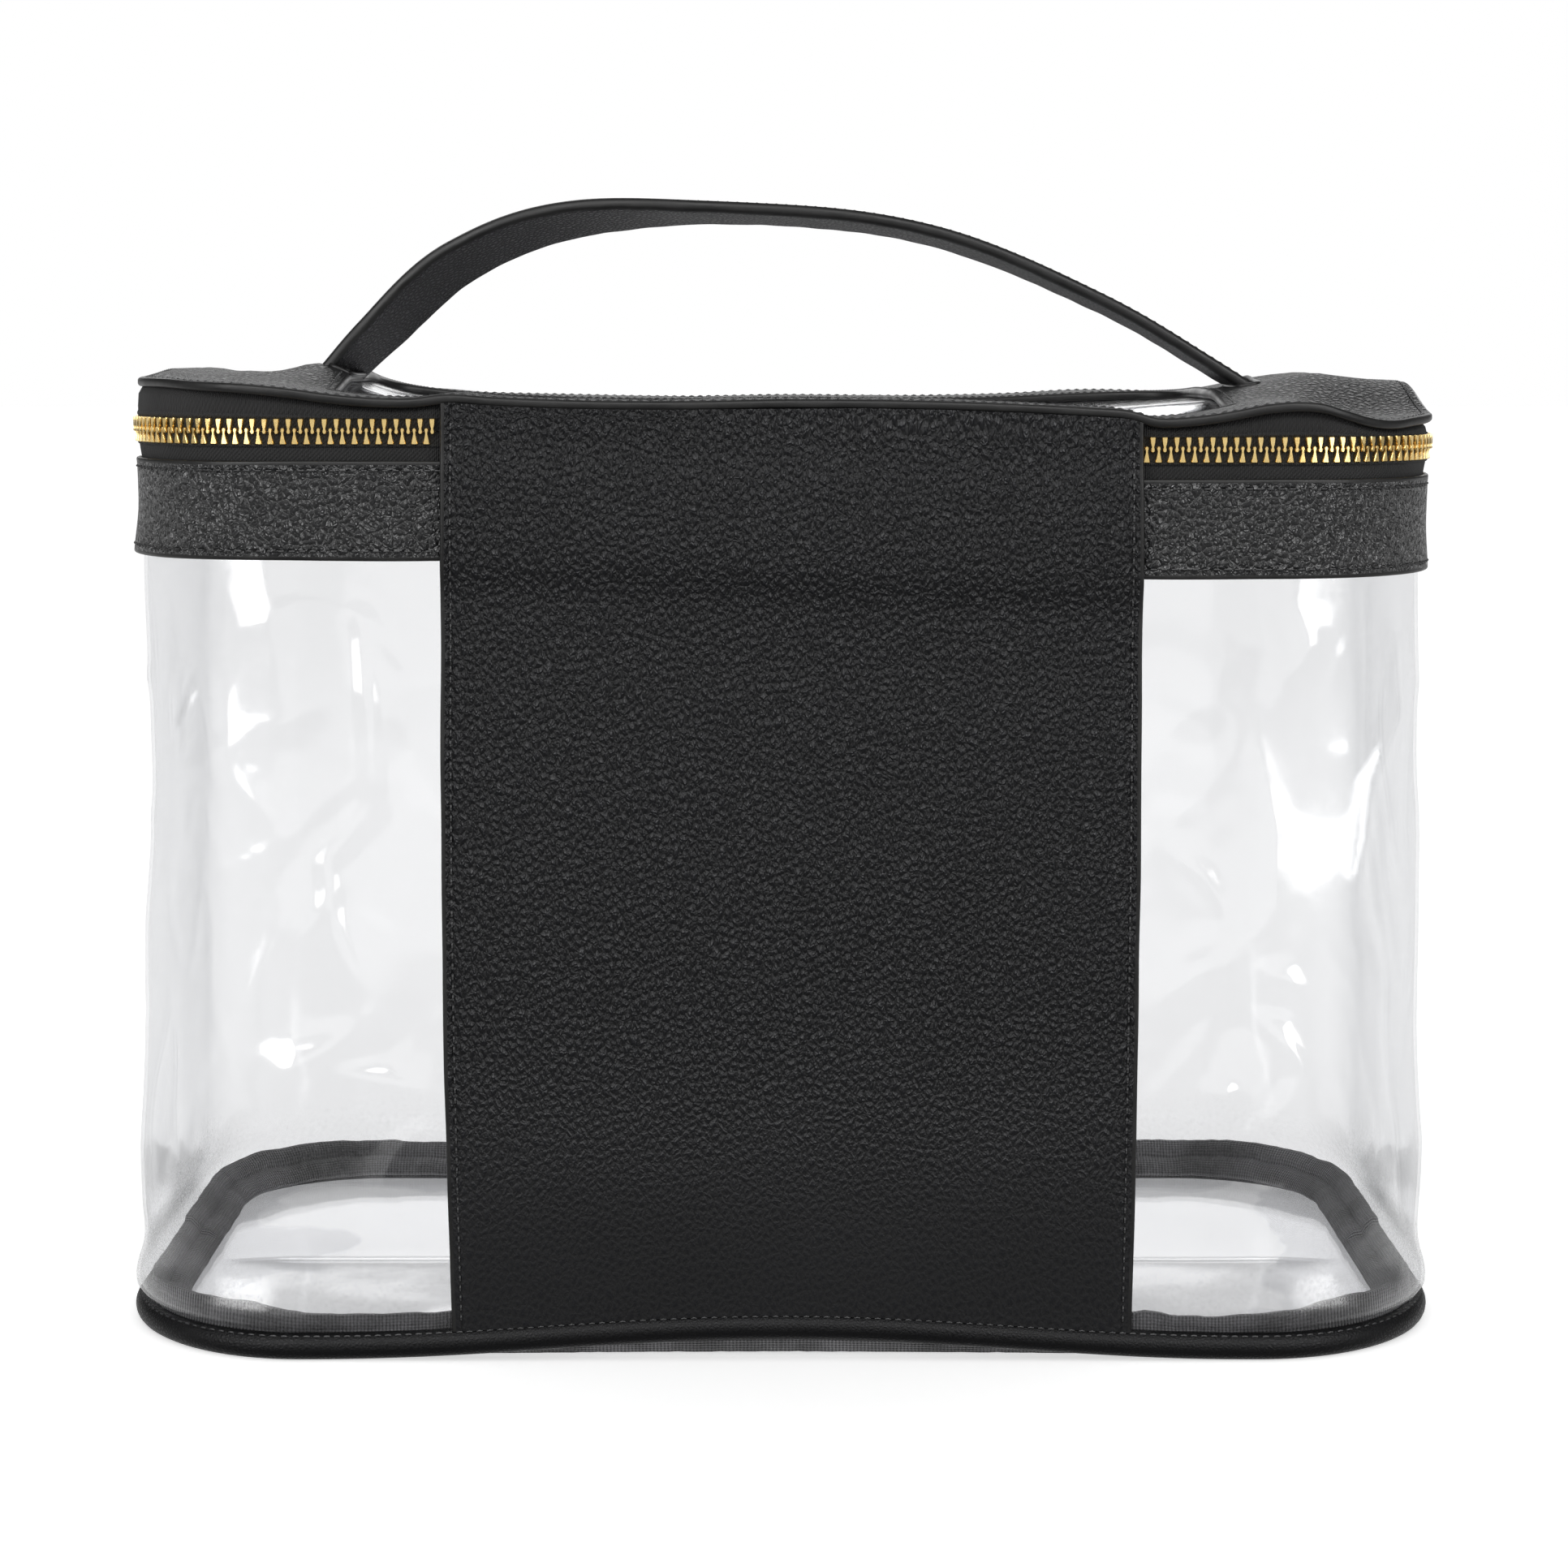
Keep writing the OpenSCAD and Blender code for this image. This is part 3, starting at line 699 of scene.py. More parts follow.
# Soft dents on the hinge side: (x, z, half width, half height, depth) in millimetres, then slant
DENTS = [
    (-128, 150, 9, 26, -1.3, 0.1), (-105, 150, 12, 20, 1.0, -0.3), (-88, 118, 9, 24, -1.2, 0.35),
    (-100, 92, 8, 16, 1.1, -0.5), (-84, 70, 10, 9, -1.1, 0.8), (-108, 66, 14, 5, 1.0, 0.2),
    (-120, 40, 6, 14, 0.9, -0.2), (92, 156, 8, 18, 1.0, 0.2), (112, 140, 12, 24, -1.1, -0.2),
    (96, 104, 10, 20, -0.9, 0.4), (88, 84, 6, 10, 1.2, 0.9), (104, 76, 8, 6, -0.9, 0.2),
    (120, 100, 7, 26, 0.9, 0.1), (128, 46, 6, 16, 0.9, 0.25), (-134, 96, 7, 20, 0.8, 0.1),
]

# Sharper creases: (distance round from the middle of the hinge side, z) in millimetres, then height and width
CREASES = [
    ([(-91, 173), (-88.7, 137), (-88.2, 122), (-98.6, 110), (-98, 100), (-93, 84), (-91, 75)], 0.9, 2.6),
    ([(-91, 75), (-97, 71), (-105, 67), (-112, 56)], 1.1, 3.0),
    ([(-102, 64), (-90, 63), (-79, 60)], 1.0, 2.0),
    ([(-110, 96), (-117, 78), (-123, 64), (-129, 54)], 0.8, 2.4),
    ([(-131, 148), (-133, 140), (-138, 133)], 0.8, 1.8),
    ([(-118, 160), (-103, 165), (-89, 162), (-80, 151), (-79, 142)], 0.45, 2.4),
    ([(-122, 150), (-119, 128), (-108, 116), (-112, 104)], 0.6, 3.0),
    ([(112, 168), (115, 160), (109, 150)], 0.9, 3.4),
    ([(103, 143), (107, 120), (107, 102), (101, 89)], 0.55, 3.2),
    ([(105, 87), (111, 85), (114, 81)], 1.0, 1.8),
    ([(101, 79), (109, 73), (114, 64), (111, 57), (104, 50)], 0.9, 2.2),
    ([(97, 63), (97, 56)], 1.0, 3.4),
    ([(138, 168), (140, 144), (130, 128), (126, 106), (128, 97), (140, 77)], 1.0, 2.2),
    ([(-137, 52), (-141, 38), (-146, 24)], -0.7, 2.6),
    ([(134, 50), (142, 36), (150, 20)], -0.7, 2.6),
    ([(80, 118), (92, 108), (100, 96)], 0.5, 3.0),
]
CREASE_GAIN = 1.6


def crease_height(around_hinge, z):
    """Height of the creases at a distance round from the middle of the hinge side and a height."""
    total = np.zeros(np.broadcast(around_hinge, z).shape)
    for path, height, width in CREASES:
        nearest, share = np.full(total.shape, 1.0), np.zeros(total.shape)
        points = np.array(path) * MM
        steps = np.linalg.norm(np.diff(points, axis=0), axis=1)
        start = np.concatenate([[0], np.cumsum(steps)])
        for k, step in enumerate(steps):
            to = points[k + 1] - points[k]
            t = ((around_hinge - points[k][0]) * to[0] + (z - points[k][1]) * to[1]) / step ** 2
            t = np.clip(t, 0, 1)
            gap = np.hypot(around_hinge - points[k][0] - t * to[0], z - points[k][1] - t * to[1])
            share = np.where(gap < nearest, (start[k] + t * step) / start[-1], share)
            nearest = np.minimum(nearest, gap)
        fade = np.sin(np.clip(share, 0.04, 0.96) * math.pi) ** 0.6
        total = total + CREASE_GAIN * height * MM * fade * np.exp(-(nearest / (width * MM)) ** 1.7)
    return total


def vinyl_relief(s, z):
    """How far the soft wall stands out or in: broad waves, dents, and sharper creases near the corners."""
    x, y, _, _ = outline(s)
    held = smooth(z, 6 * MM, 30 * MM) * (1 - smooth(z, 158 * MM, 176 * MM))
    behind_panel = (1 - smooth(np.abs(x - PANEL_X), PANEL_W / 2 - 3 * MM, PANEL_W / 2 + 12 * MM)) * (y < 0)
    free = held * (1 - behind_panel)
    wave = 0.75 * MM * wander(s, z * 0.7, 42 * MM, 1) + 0.3 * MM * wander(s, z, 17 * MM, 2)
    fold = 1 - np.abs(wander(s * 1.3 + 0.4 * z, z, 36 * MM, 3)) * 2.4
    wave = wave + 0.45 * MM * np.clip(fold, 0, 1) ** 3
    for dent_x, dent_z, width, height, depth, slant in DENTS:
        across = x - slant * (z - dent_z * MM)
        dent = bell(across, dent_x * MM, width * MM) * bell(z, dent_z * MM, height * MM)
        wave = wave + depth * MM * dent * (y < 0)
    around_hinge = np.sign(s) * (ROUND / 2 - np.abs(s))
    wave = wave + crease_height(around_hinge, z)
    # The foot swells over the piping, most at the corners, and turns in to its seam
    swell = FOOT_SWELL + CORNER_SWELL * smooth(np.abs(x), 70 * MM, 118 * MM)
    foot = swell * (bell(np.maximum(z, 9.5 * MM), 9.5 * MM, 6.2 * MM) - 1 + smooth(z, 4.5 * MM, 9 * MM))
    foot = foot - 0.7 * MM * (1 - smooth(z, 5 * MM, 8 * MM))
    return wave * free + foot * (1 - behind_panel)


def wall_stations(count):
    """Distances round the rim, closer together on the hinge side's corners, where the creases are."""
    even = np.linspace(-ROUND / 2, ROUND / 2, 6000)
    x, y, _, _ = outline(even)
    weight = 1 + 1.8 * ((y < 0) & (np.abs(x) > 66 * MM))
    total = np.concatenate([[0], np.cumsum((weight[1:] + weight[:-1]) / 2)])
    return np.interp(np.arange(count) / count, total / total[-1], even)


def build_wall():
    heights = np.concatenate([[WALL_FOOT], np.linspace(5.5, 24, 13) * MM, np.linspace(25.8, 170, 79) * MM,
                              np.linspace(174, 190.4, 5) * MM, [WALL_TOP]])
    s = wall_stations(500)
    relief = vinyl_relief(s[:, None], heights)
    outer = place(s[:, None], relief, heights)
    inner = place(s[:, None], relief - WALL_T, heights)[:, ::-1]
    grid = np.concatenate([outer, inner], 1)
    wall = loft("wall_sheet", grid, [vinyl], np.append(s, ROUND / 2))
    finish_piece(wall, "case", ["body_wall"])


# ---------------------------------------------------------------- base

PIPING_HALF_W = 2.75 * MM
PIPING_HALF_H = 3 * MM
PIPING_Z = 2.7 * MM
PIPING_FLAT = PIPING_Z - 0.02 * MM
BASE_LOW = 1.9 * MM
BASE_HIGH = 2.7 * MM
BASE_FOLD_Y = -9 * MM
# Section of the ribbed binding over the seam inside, from the wall to the base: (out, z) in millimetres, then
# how puffy it is there
BINDING = [(-1.0, 10.4, 0.8), (-2.5, 10.3, 1), (-4.2, 8.7, 1), (-5.0, 7.0, 1), (-6.8, 6.7, 1), (-8.7, 5.3, 1),
           (-9.6, 3.6, 0.5), (-9.0, 2.95, 0.4), (-5.0, 3.0, 0), (-0.9, 3.1, 0), (-0.2, 4.2, 0),
           (-0.6, 6.6, 0.2), (-0.85, 8.8, 0.6)]
# The same under the piping, then how far it follows the arch of the base
UNDER_BINDING = [(-0.3, 2.2, 0.85), (-1.1, 1.2, 0.5), (-1.6, 0.35, 0.12), (-2.4, 0.35, 0.12),
                 (-2.2, 1.3, 0.5), (-1.6, 2.4, 0.85)]


def build_base():
    a, b = stadium(PIPING_HALF_W, PIPING_HALF_H, 22)
    b = np.maximum(b, -PIPING_FLAT)
    s = around[:, None]
    wobble = 0.18 * MM * wander(s, 0 * s, 25 * MM, 4)
    piping = loft("piping", place(s, a + wobble, PIPING_Z + b), [piping_skin], around_closed)
    finish_piece(piping, "case", ["base_piping", "base_piping_cord"])

    where = spaced(ROUND) - ROUND / 2
    seam = place(where, 1.3 * MM, 5.22 * MM)
    _, _, nx, ny = outline(where)
    outward = np.stack([nx * 0.5, ny * 0.5, np.full_like(nx, 0.87)], -1)
    finish_piece(stitched("piping_stitches", [(seam, outward)], closed=True), "case")

    # Binding over the seam inside, taller at the corners
    out, z, puff = np.array(BINDING).T * [[MM], [MM], [1]]
    x, y, _, _ = outline(s)
    corner = smooth(np.abs(x), 100 * MM, 128 * MM) * smooth(np.abs(y), 30 * MM, 62 * MM)
    taller = np.where(y < 0, -1.2 * MM + 2.6 * MM * corner, 0.8 * MM * corner)
    ripple = 0.8 * MM * wander(s, z, 7 * MM, 5) * puff
    fray = 0.2 * MM * wander(s, 0 * z, 2.4 * MM, 55) * (z > 9.5 * MM)
    grid = place(s, out - np.abs(ripple) * 0.4, z + ripple + fray + taller * smooth(z, 3.5 * MM, 9 * MM))
    binding = loft("inner_binding", grid, [ribbed], around_closed)
    finish_piece(binding, "case", ["base_binding"])

    # The binding's other edge shows under the piping where the base arches
    out, z, share = np.array(UNDER_BINDING).T * [[MM], [MM], [1]]
    fray = 0.22 * MM * wander(s, z * 3, 2.2 * MM, 6) * (1 - share)
    grid = place(s, out, z + np.abs(fray), share)
    finish_piece(loft("under_binding", grid, [ribbed], around_closed), "case")

    def sheet_height(x, y, z):
        """The sheet waves, with one sharper fold along it, and lies flat at its edges."""
        wave = 0.35 * MM * (1 + wander(x, y, 60 * MM, 8))
        fold = 0.3 * MM * np.exp(-np.abs(y - BASE_FOLD_Y) / (2.2 * MM))
        free = smooth(HALF_D - np.abs(y), 4 * MM, 30 * MM) * smooth(HALF_W - np.abs(x), 4 * MM, 30 * MM)
        return z + (wave + fold) * free + rise(x, y, z)

    shape = (RIM[0], RIM[1], CORNER_R + FLARE - 2.8 * MM)
    sheet = clear_plate("base_floor", shape, BASE_LOW, BASE_HIGH, 96, 90, base_vinyl, sheet_height)
    finish_piece(sheet, "case", ["base_sheet"])


# ---------------------------------------------------------------- band round the rim

def build_band():
    middle, width = (band_low.z + band_high.z) / 2, band_high.z - band_low.z
    inset = width / 2 - STITCH_INSET
    across, depth, zones = section(width, LEATHER_T, (-inset, inset), step=2 * MM)
    z = middle + across
    to_edge = np.abs(across / width * 2)
    s = around[:, None]
    puff = 0.28 * MM * wander(s, z, 16 * MM, 9) * (1 - to_edge ** 4)
    edge = 0.22 * MM * wander(s, np.sign(across) * 0.1, 28 * MM, 10) * to_edge ** 2
    grid = place(s, BAND_OUT + depth + puff, z + edge)
    band = loft("rim_band", grid, [lit_band_leather, edge_paint, backing], around_closed, zones)
    finish_piece(band, "case", ["collar_band"])

    where = spaced(ROUND) - ROUND / 2
    _, _, nx, ny = outline(where)
    outward = np.stack([nx, ny, np.zeros_like(nx)], -1)
    rows = [(place(where, BAND_OUT - STITCH_SUNK, middle + k * inset), outward) for k in (-1, 1)]
    finish_piece(stitched("rim_band_stitches", rows, closed=True), "case")

    low, high = (v.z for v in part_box("collar_lining"))
    across, depth, _ = section(high - low, LINING_T, step=3 * MM, paint=0)
    grid = place(s, -0.95 * MM + depth, (low + high) / 2 + across)
    finish_piece(loft("rim_lining", grid, [lining], around_closed), "case", ["collar_lining"])


# ---------------------------------------------------------------- hinge panel

# The panel's outer face from the base to under the lid: (out, z) in millimetres, before the wall's lean
PANEL_PATH = [(1.5, 5.4), (1.45, 40), (1.4, 90), (1.4, 140), (1.5, 160), (2.1, 169), (3.2, 173.5),
              (3.55, 178), (3.6, 188), (3.45, 193.5), (3.1, 197), (2.9, 200), (2.9, 204), (2.9, 208.4)]


def panel_outer(z):
    """Distance out of the panel's outer face at a height."""
    knots = [(height, out) for out, height in PANEL_PATH]
    return curve_through(knots, z)


def panel_point(x, z, depth):
    """Points of the hinge panel at x along the hinge side, height z and depth under its outer face."""
    slack = PANEL_SLACK * wander(x, z * 0.6, 55 * MM, 11) * smooth(z, 10 * MM, 40 * MM)
    slack = np.where(z < 165 * MM, slack, slack * (1 - smooth(z, 160 * MM, 175 * MM)))
    y = -(HALF_D + panel_outer(z) + lean(z) + depth + np.maximum(slack, -0.3 * MM))
    return np.stack(np.broadcast_arrays(x, y, z + rise(x, np.full_like(x * z, -HALF_D), z)), -1)


def build_panel():
    inset = PANEL_W / 2 - STITCH_INSET
    across, depth, zones = section(PANEL_W, PANEL_T, (-inset, inset), step=2 * MM)
    heights = np.concatenate([np.arange(PANEL_FOOT, 190 * MM, 2 * MM), np.linspace(190 * MM, PANEL_HEAD, 28)])
    z = heights[:, None]
    middle = np.sin(np.clip(heights / (200 * MM), 0, 1) * math.pi)[:, None]
    side = across / (PANEL_W / 2)
    swell = middle * np.where(side < 0, -1.3, 0.7)[None, :] * MM * np.abs(side[None, :]) ** 3
    x = PANEL_X + across + swell + 0.25 * MM * wander(z, np.sign(side) * 0.3, 22 * MM, 12)
    grid = panel_point(x, z + 0 * x, depth + 0 * x)
    panel = loft("panel", grid, [leather, edge_paint, backing], heights, zones, ring=False)
    flat = panel.data.attributes.new("pressed_flat", "FLOAT", "POINT")
    z_of = np.array([v.co.z for v in panel.data.vertices])
    flat.data.foreach_set("value", (0.85 * (1 - smooth(z_of, 14 * MM, 84 * MM))).astype(np.float32))
    finish_piece(panel, None, ["hinge_panel", "lid_hinge_strip"], ("case", "lid", HINGE_BLEND))

    where = PANEL_FOOT + 2 * MM + spaced(PANEL_HEAD - PANEL_FOOT - 6 * MM)
    swell = np.sin(where / (200 * MM) * math.pi)
    rows = []
    for sign, size in ((-1, 1.15), (1, 0.6)):
        x = PANEL_X + sign * inset + sign * size * MM * swell
        points = panel_point(x, where, np.full_like(where, -STITCH_SUNK))
        rows.append((points, np.tile([0, -1.0, 0], (len(where), 1))))
    finish_piece(stitched("panel_stitches", rows), None, (), ("case", "lid", HINGE_BLEND))

    low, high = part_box("hinge_panel_lining")
    width = high.x - low.x
    across, depth, _ = section(width, LINING_T, step=6 * MM, paint=0)
    heights = np.arange(low.z, high.z, 4 * MM)
    x, z = np.broadcast_arrays(PANEL_X + across, heights[:, None])
    y = -(HALF_D + lean(z) - WALL_T - 0.12 * MM + depth)
    grid = np.stack([x, y, z + rise(x, y, z)], -1)
    finish_piece(loft("panel_lining", grid, [lining], heights, ring=False), "case",
                 ["hinge_panel_lining"])


# ---------------------------------------------------------------- zip

ZIP_LINE = (RIM[0], RIM[1], CORNER_R + TOOTH_OUT)
ZIP_HALF = 2 * RIM[0] + 2 * RIM[1] + math.pi * (CORNER_R + TOOTH_OUT) - ZIP_END_X
TEETH_EACH_WAY = int(ZIP_HALF / TOOTH_PITCH) - 2
# Half outlines of a tooth, from its foot to its head: (half width, height) in millimetres
LOWER_TOOTH = [(0.72, 0), (0.76, 0.28), (0.62, 0.9), (0.42, 1.7), (0.27, 2.3), (0.3, 2.7), (0.43, 3.0),
               (0.42, 3.3), (0.24, 3.52), (0, 3.6)]
UPPER_TOOTH = [(0.6, 0), (0.65, 0.22), (0.62, 0.9), (0.5, 1.5), (0.34, 2.0), (0.28, 2.22), (0.37, 2.5),
               (0.47, 2.8), (0.44, 3.08), (0.25, 3.3), (0, 3.36)]
# The tapes' paths: (out, z) in millimetres; the upper one turns in under the lid
LOWER_TAPE = [(0.4, 185.5), (0.4, 193), (0.55, 197), (0.4, 199.5), (0.3, 201.9)]
UPPER_TAPE = [(0.3, 202.1), (0.4, 204.5), (0.7, 205.8), (0.75, 207), (0.2, 207.9), (-1.5, 208.0), (-7, 208.0)]


def tooth_template(half_outline, foot, up):
    """A cast tooth: half an outline of (half width, height) points, mirrored, with rounded faces."""
    ring = half_outline + [(-a, c) for a, c in half_outline[-2::-1]]
    points, count = [], len(ring)
    rounding = [(0.6, 1, 0), (1.02, 0.94, 0.03), (1.2, 0.72, 0.12)]
    layers = [(-out, grow, shift) for out, grow, shift in rounding[::-1]] + rounding
    for out, grow, shift in layers:
        for a, c in ring:
            height = shift + c * (1 - 2 * shift / half_outline[-1][1])
            points.append((a * grow * MM, out * MM, foot + up * height * MM))
    return np.array(points), layered_faces(len(layers), count)


def zip_frames(d, z):
    """Places and axes (along, out, up) on the zip's line at distances d from the middle of the front."""
    x, y, nx, ny = outline(d, ZIP_LINE)
    away = stand(x, y, np.full_like(x, z))
    flat = np.zeros_like(x)
    centres = np.stack([x + nx * away, y + ny * away, rise(x, y, np.full_like(x, z))], -1)
    axes = np.stack([np.stack([ny, -nx, flat], -1), np.stack([nx, ny, flat], -1),
                     np.tile([0.0, 0.0, 1.0], (len(x), 1))], 1)
    return centres, axes


def rim_to_zip(d):
    """Distance round the rim that faces distance d along the zip's line."""
    _, _, nx, ny = outline(d, ZIP_LINE)
    turned = np.arctan2(np.abs(nx), ny)
    return np.sign(d) * (np.abs(d) - TOOTH_OUT * turned)


def build_zip():
    low_at = (np.arange(-TEETH_EACH_WAY, TEETH_EACH_WAY) + 0.5) * TOOTH_PITCH
    up_at = np.arange(-TEETH_EACH_WAY, TEETH_EACH_WAY + 1) * TOOTH_PITCH
    centres, axes = zip_frames(low_at, TOOTH_FOOT)
    lower = scattered("teeth_lower", tooth_template(LOWER_TOOTH, TOOTH_FOOT, 1), centres, axes, [gold])
    finish_piece(lower, "case", ["lower_zip_teeth"])
    centres, axes = zip_frames(up_at, ZIP_Z)
    upper = scattered("teeth_upper", tooth_template(UPPER_TOOTH, TOOTH_HEAD, -1), centres, axes, [gold])
    finish_piece(upper, "lid", ["upper_zip_teeth"])

    end = rim_to_zip(np.array([ZIP_HALF]))[0]
    run = np.linspace(-end, end, 380)
    t = TAPE_T / 2
    for name, path, node, body in (("tape_lower", LOWER_TAPE, "lower_zip_tape", "case"),
                                   ("tape_upper", UPPER_TAPE, "upper_zip_tape", "lid")):
        path = np.array(path) * MM
        side = np.gradient(path, axis=0)
        side = np.stack([side[:, 1], -side[:, 0]], 1) / np.linalg.norm(side, axis=1)[:, None]
        loop = np.concatenate([path + side * t, (path - side * t)[::-1]])
        out, z = loop.T
        loose = 1 - smooth(np.abs(z - ZIP_Z), 6 * MM, 9 * MM)
        ripple = 0.25 * MM * wander(run[:, None], z, 9 * MM, 13) * loose
        grid = place(run[:, None], out + ripple, z)
        finish_piece(loft(name, grid, [twill], run, ring=False), body, [node])

    # Woven cord that each row of teeth is clamped on
    for name, z, body in (("cord_lower", TOOTH_FOOT - 0.25 * MM, "case"),
                          ("cord_upper", TOOTH_HEAD + 0.25 * MM, "lid")):
        a, b = stadium(0.75 * MM, 0.45 * MM, 10)
        grid = place(run[:, None], TOOTH_OUT + a, z + b)
        finish_piece(loft(name, grid, [twill], run, ring=False), body)

    # End stops, folded over the tape under the hinge panel
    for name, low, high, node, body in (
            ("stops_lower", ZIP_Z - 3 * MM, ZIP_Z - 0.6 * MM, "lower_zip_stops", "case"),
            ("stops_upper", ZIP_Z + 0.6 * MM, ZIP_Z + 3 * MM, "upper_zip_stops", "lid")):
        ring = [(0.9, 0), (0.9, 1), (-0.9, 1), (-0.9, 0)]
        d = np.array([-1.0, 1.0]) * (ZIP_HALF - 1.2 * MM)
        centres, axes = zip_frames(d, (low + high) / 2)
        points = np.array([(a * k * MM, out * MM, low + (high - low) * (c * k + (1 - k) / 2))
                           for out, k in ((-1.2, 0.8), (-1, 1), (1, 1), (1.2, 0.8)) for a, c in ring])
        stop = (points, layered_faces(4, 4))
        finish_piece(scattered(name, stop, centres, axes, [gold]), body, [node])


# ---------------------------------------------------------------- lid

def across_lid(s, share_from_edge, out_grow=0.0, in_grow=0.0):
    """Points between the lid's outer edge (0) and the window's edge (1), with absolute growth of each."""
    ox, oy, onx, ony = outline(s)
    ix, iy, inx, iny = outline(s, RIM, WINDOW)
    out_grow = out_grow - lid_pull(ox)
    ox, oy = ox + onx * out_grow, oy + ony * out_grow
    ix, iy = ix + inx * in_grow, iy + iny * in_grow
    return ox + (ix - ox) * share_from_edge, oy + (iy - oy) * share_from_edge


def lid_reach(s, out_grow, in_grow):
    """Distance between the lid's outer edge and the window's edge, before the outer edge draws in."""
    ox, oy, onx, ony = outline(s)
    ix, iy, inx, iny = outline(s, RIM, WINDOW)
    return np.hypot(ox + onx * out_grow - ix - inx * in_grow, oy + ony * out_grow - iy - iny * in_grow)


def lid_strip(name, thick, top, out_grow, in_grow, materials, furrows=(), rumple=0.0):
    """Closed ring of sheet between the lid's edge and its window."""
    across, depth, zones = section(LID_W, thick, furrows, step=2 * MM, paint=0.7 * MM if furrows else 0)
    s = around[:, None]
    length = lid_reach(s, out_grow, in_grow)
    # The edges keep their true width and only the middle stretches
    keep, half = 4 * MM, LID_W / 2
    inner_half = half - keep
    stretched = across / inner_half * (length / 2 - keep)
    rigid = np.sign(across) * (length / 2 - (half - np.abs(across)))
    position = np.where(np.abs(across) > inner_half, rigid, stretched)
    x, y = across_lid(s, position / length + 0.5, out_grow, in_grow)
    z = top + depth + lid_rise(x, y) + rumple * wander(x, y, 15 * MM, 14) * (1 - np.abs(across / half) ** 4)
    return loft(name, np.stack([x, y, z], -1), materials, around_closed, zones, planar=True)


def build_lid():
    inset = LID_W / 2 - STITCH_INSET
    skin = lid_strip("lid_skin", LID_T, LID_TOP, LID_OUT, 0, [lid_leather, edge_paint, backing],
                     (-inset, inset), 0.5 * MM)
    finish_piece(skin, "lid", ["lid_frame"])

    where = spaced(ROUND) - ROUND / 2
    length = lid_reach(where, LID_OUT, 0)
    rows = []
    for share in (STITCH_INSET / length, 1 - STITCH_INSET / length):
        x, y = across_lid(where, share, LID_OUT)
        points = np.stack([x, y, LID_TOP - 0.1 * MM + lid_rise(x, y)], -1)
        rows.append((points, np.tile([0, 0, 1.0], (len(where), 1))))
    finish_piece(stitched("lid_stitches", rows, closed=True), "lid")

    low, high = (v.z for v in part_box("lid_lining"))
    under = lid_strip("lid_under", high - low, high, -1.5 * MM, 2 * MM, [lining])
    finish_piece(under, "lid", ["lid_lining"])

    def glass_height(x, y, z):
        free = smooth(44 * MM - np.abs(y), 0, 20 * MM) * smooth(94 * MM - np.abs(x), 0, 20 * MM)
        return z + lid_rise(x, y) + 0.5 * MM * wander(x, y, 45 * MM, 15) * free

    shape = (window_high.x - GLASS_R, window_high.y - GLASS_R, GLASS_R)
    glass = clear_plate("lid_glass", shape, window_low.z + 0.02 * MM, window_high.z - 0.05 * MM, 90, 40,
                        window_vinyl, glass_height)
    finish_piece(glass, "lid", ["lid_window"])


# ---------------------------------------------------------------- strap handle

# Outer line of the strap from the left slot to the right one, (x, z) in millimetres
STRAP_LINE = [(-122, 198), (-117.5, 206.2), (-108, 213.8), (-96, 225.6), (-76, 243), (-47, 253.2), (0, 254),
              (38, 248.6), (75, 233.8), (100, 219.8), (118.5, 207.6), (126, 198)]
# How far the strap has rolled about its own line, (x, degrees)
STRAP_ROLL = [(-122, 4), (-108, 12), (-92, 20), (-70, 19), (-46, 14), (-20, 6), (20, 4), (60, 3), (90, 1),
              (118, 0)]
# Slots in the lid that the strap comes through
SLOT_HALF_L = 3 * MM
SLOT_HALF_W = 12.2 * MM


def strap_curve(count):
    """Points, directions and roll at even steps along the strap's outer line."""
    knots = np.array(STRAP_LINE, float) * MM
    steps = np.linspace(1, len(knots) - 2, 400)
    i = np.minimum(steps.astype(int), len(knots) - 3)
    t = (steps - i)[:, None]
    p0, p1, p2, p3 = knots[i - 1], knots[i], knots[i + 1], knots[i + 2]
    line = 0.5 * (2 * p1 + (p2 - p0) * t + (2 * p0 - 5 * p1 + 4 * p2 - p3) * t ** 2
                  + (3 * p1 - p0 - 3 * p2 + p3) * t ** 3)
    run = np.concatenate([[0], np.cumsum(np.linalg.norm(np.diff(line, axis=0), axis=1))])
    even = np.linspace(0, run[-1], count)
    line = np.stack([np.interp(even, run, line[:, 0]), np.interp(even, run, line[:, 1])], 1)
    ahead = np.gradient(line, axis=0)
    ahead /= np.linalg.norm(ahead, axis=1)[:, None]
    roll = curve_through(STRAP_ROLL, line[:, 0]) / MM
    return line, ahead, np.radians(roll), even


def strap_points(line, ahead, roll, across, depth):
    """Points at distances across and above the strap's outer face, and that face's outward directions."""
    up = np.stack([-ahead[:, 1], 0 * ahead[:, 0], ahead[:, 0]], 1)
    across_dir = np.tile([0.0, 1.0, 0.0], (len(line), 1))
    c, s = np.cos(roll)[:, None], np.sin(roll)[:, None]
    side = across_dir * c - up * s
    face = up * c + across_dir * s
    centre = np.stack([line[:, 0], 0 * line[:, 0], line[:, 1]], 1)
    grid = centre[:, None] + side[:, None] * across[..., None] + face[:, None] * depth[..., None]
    return grid, face


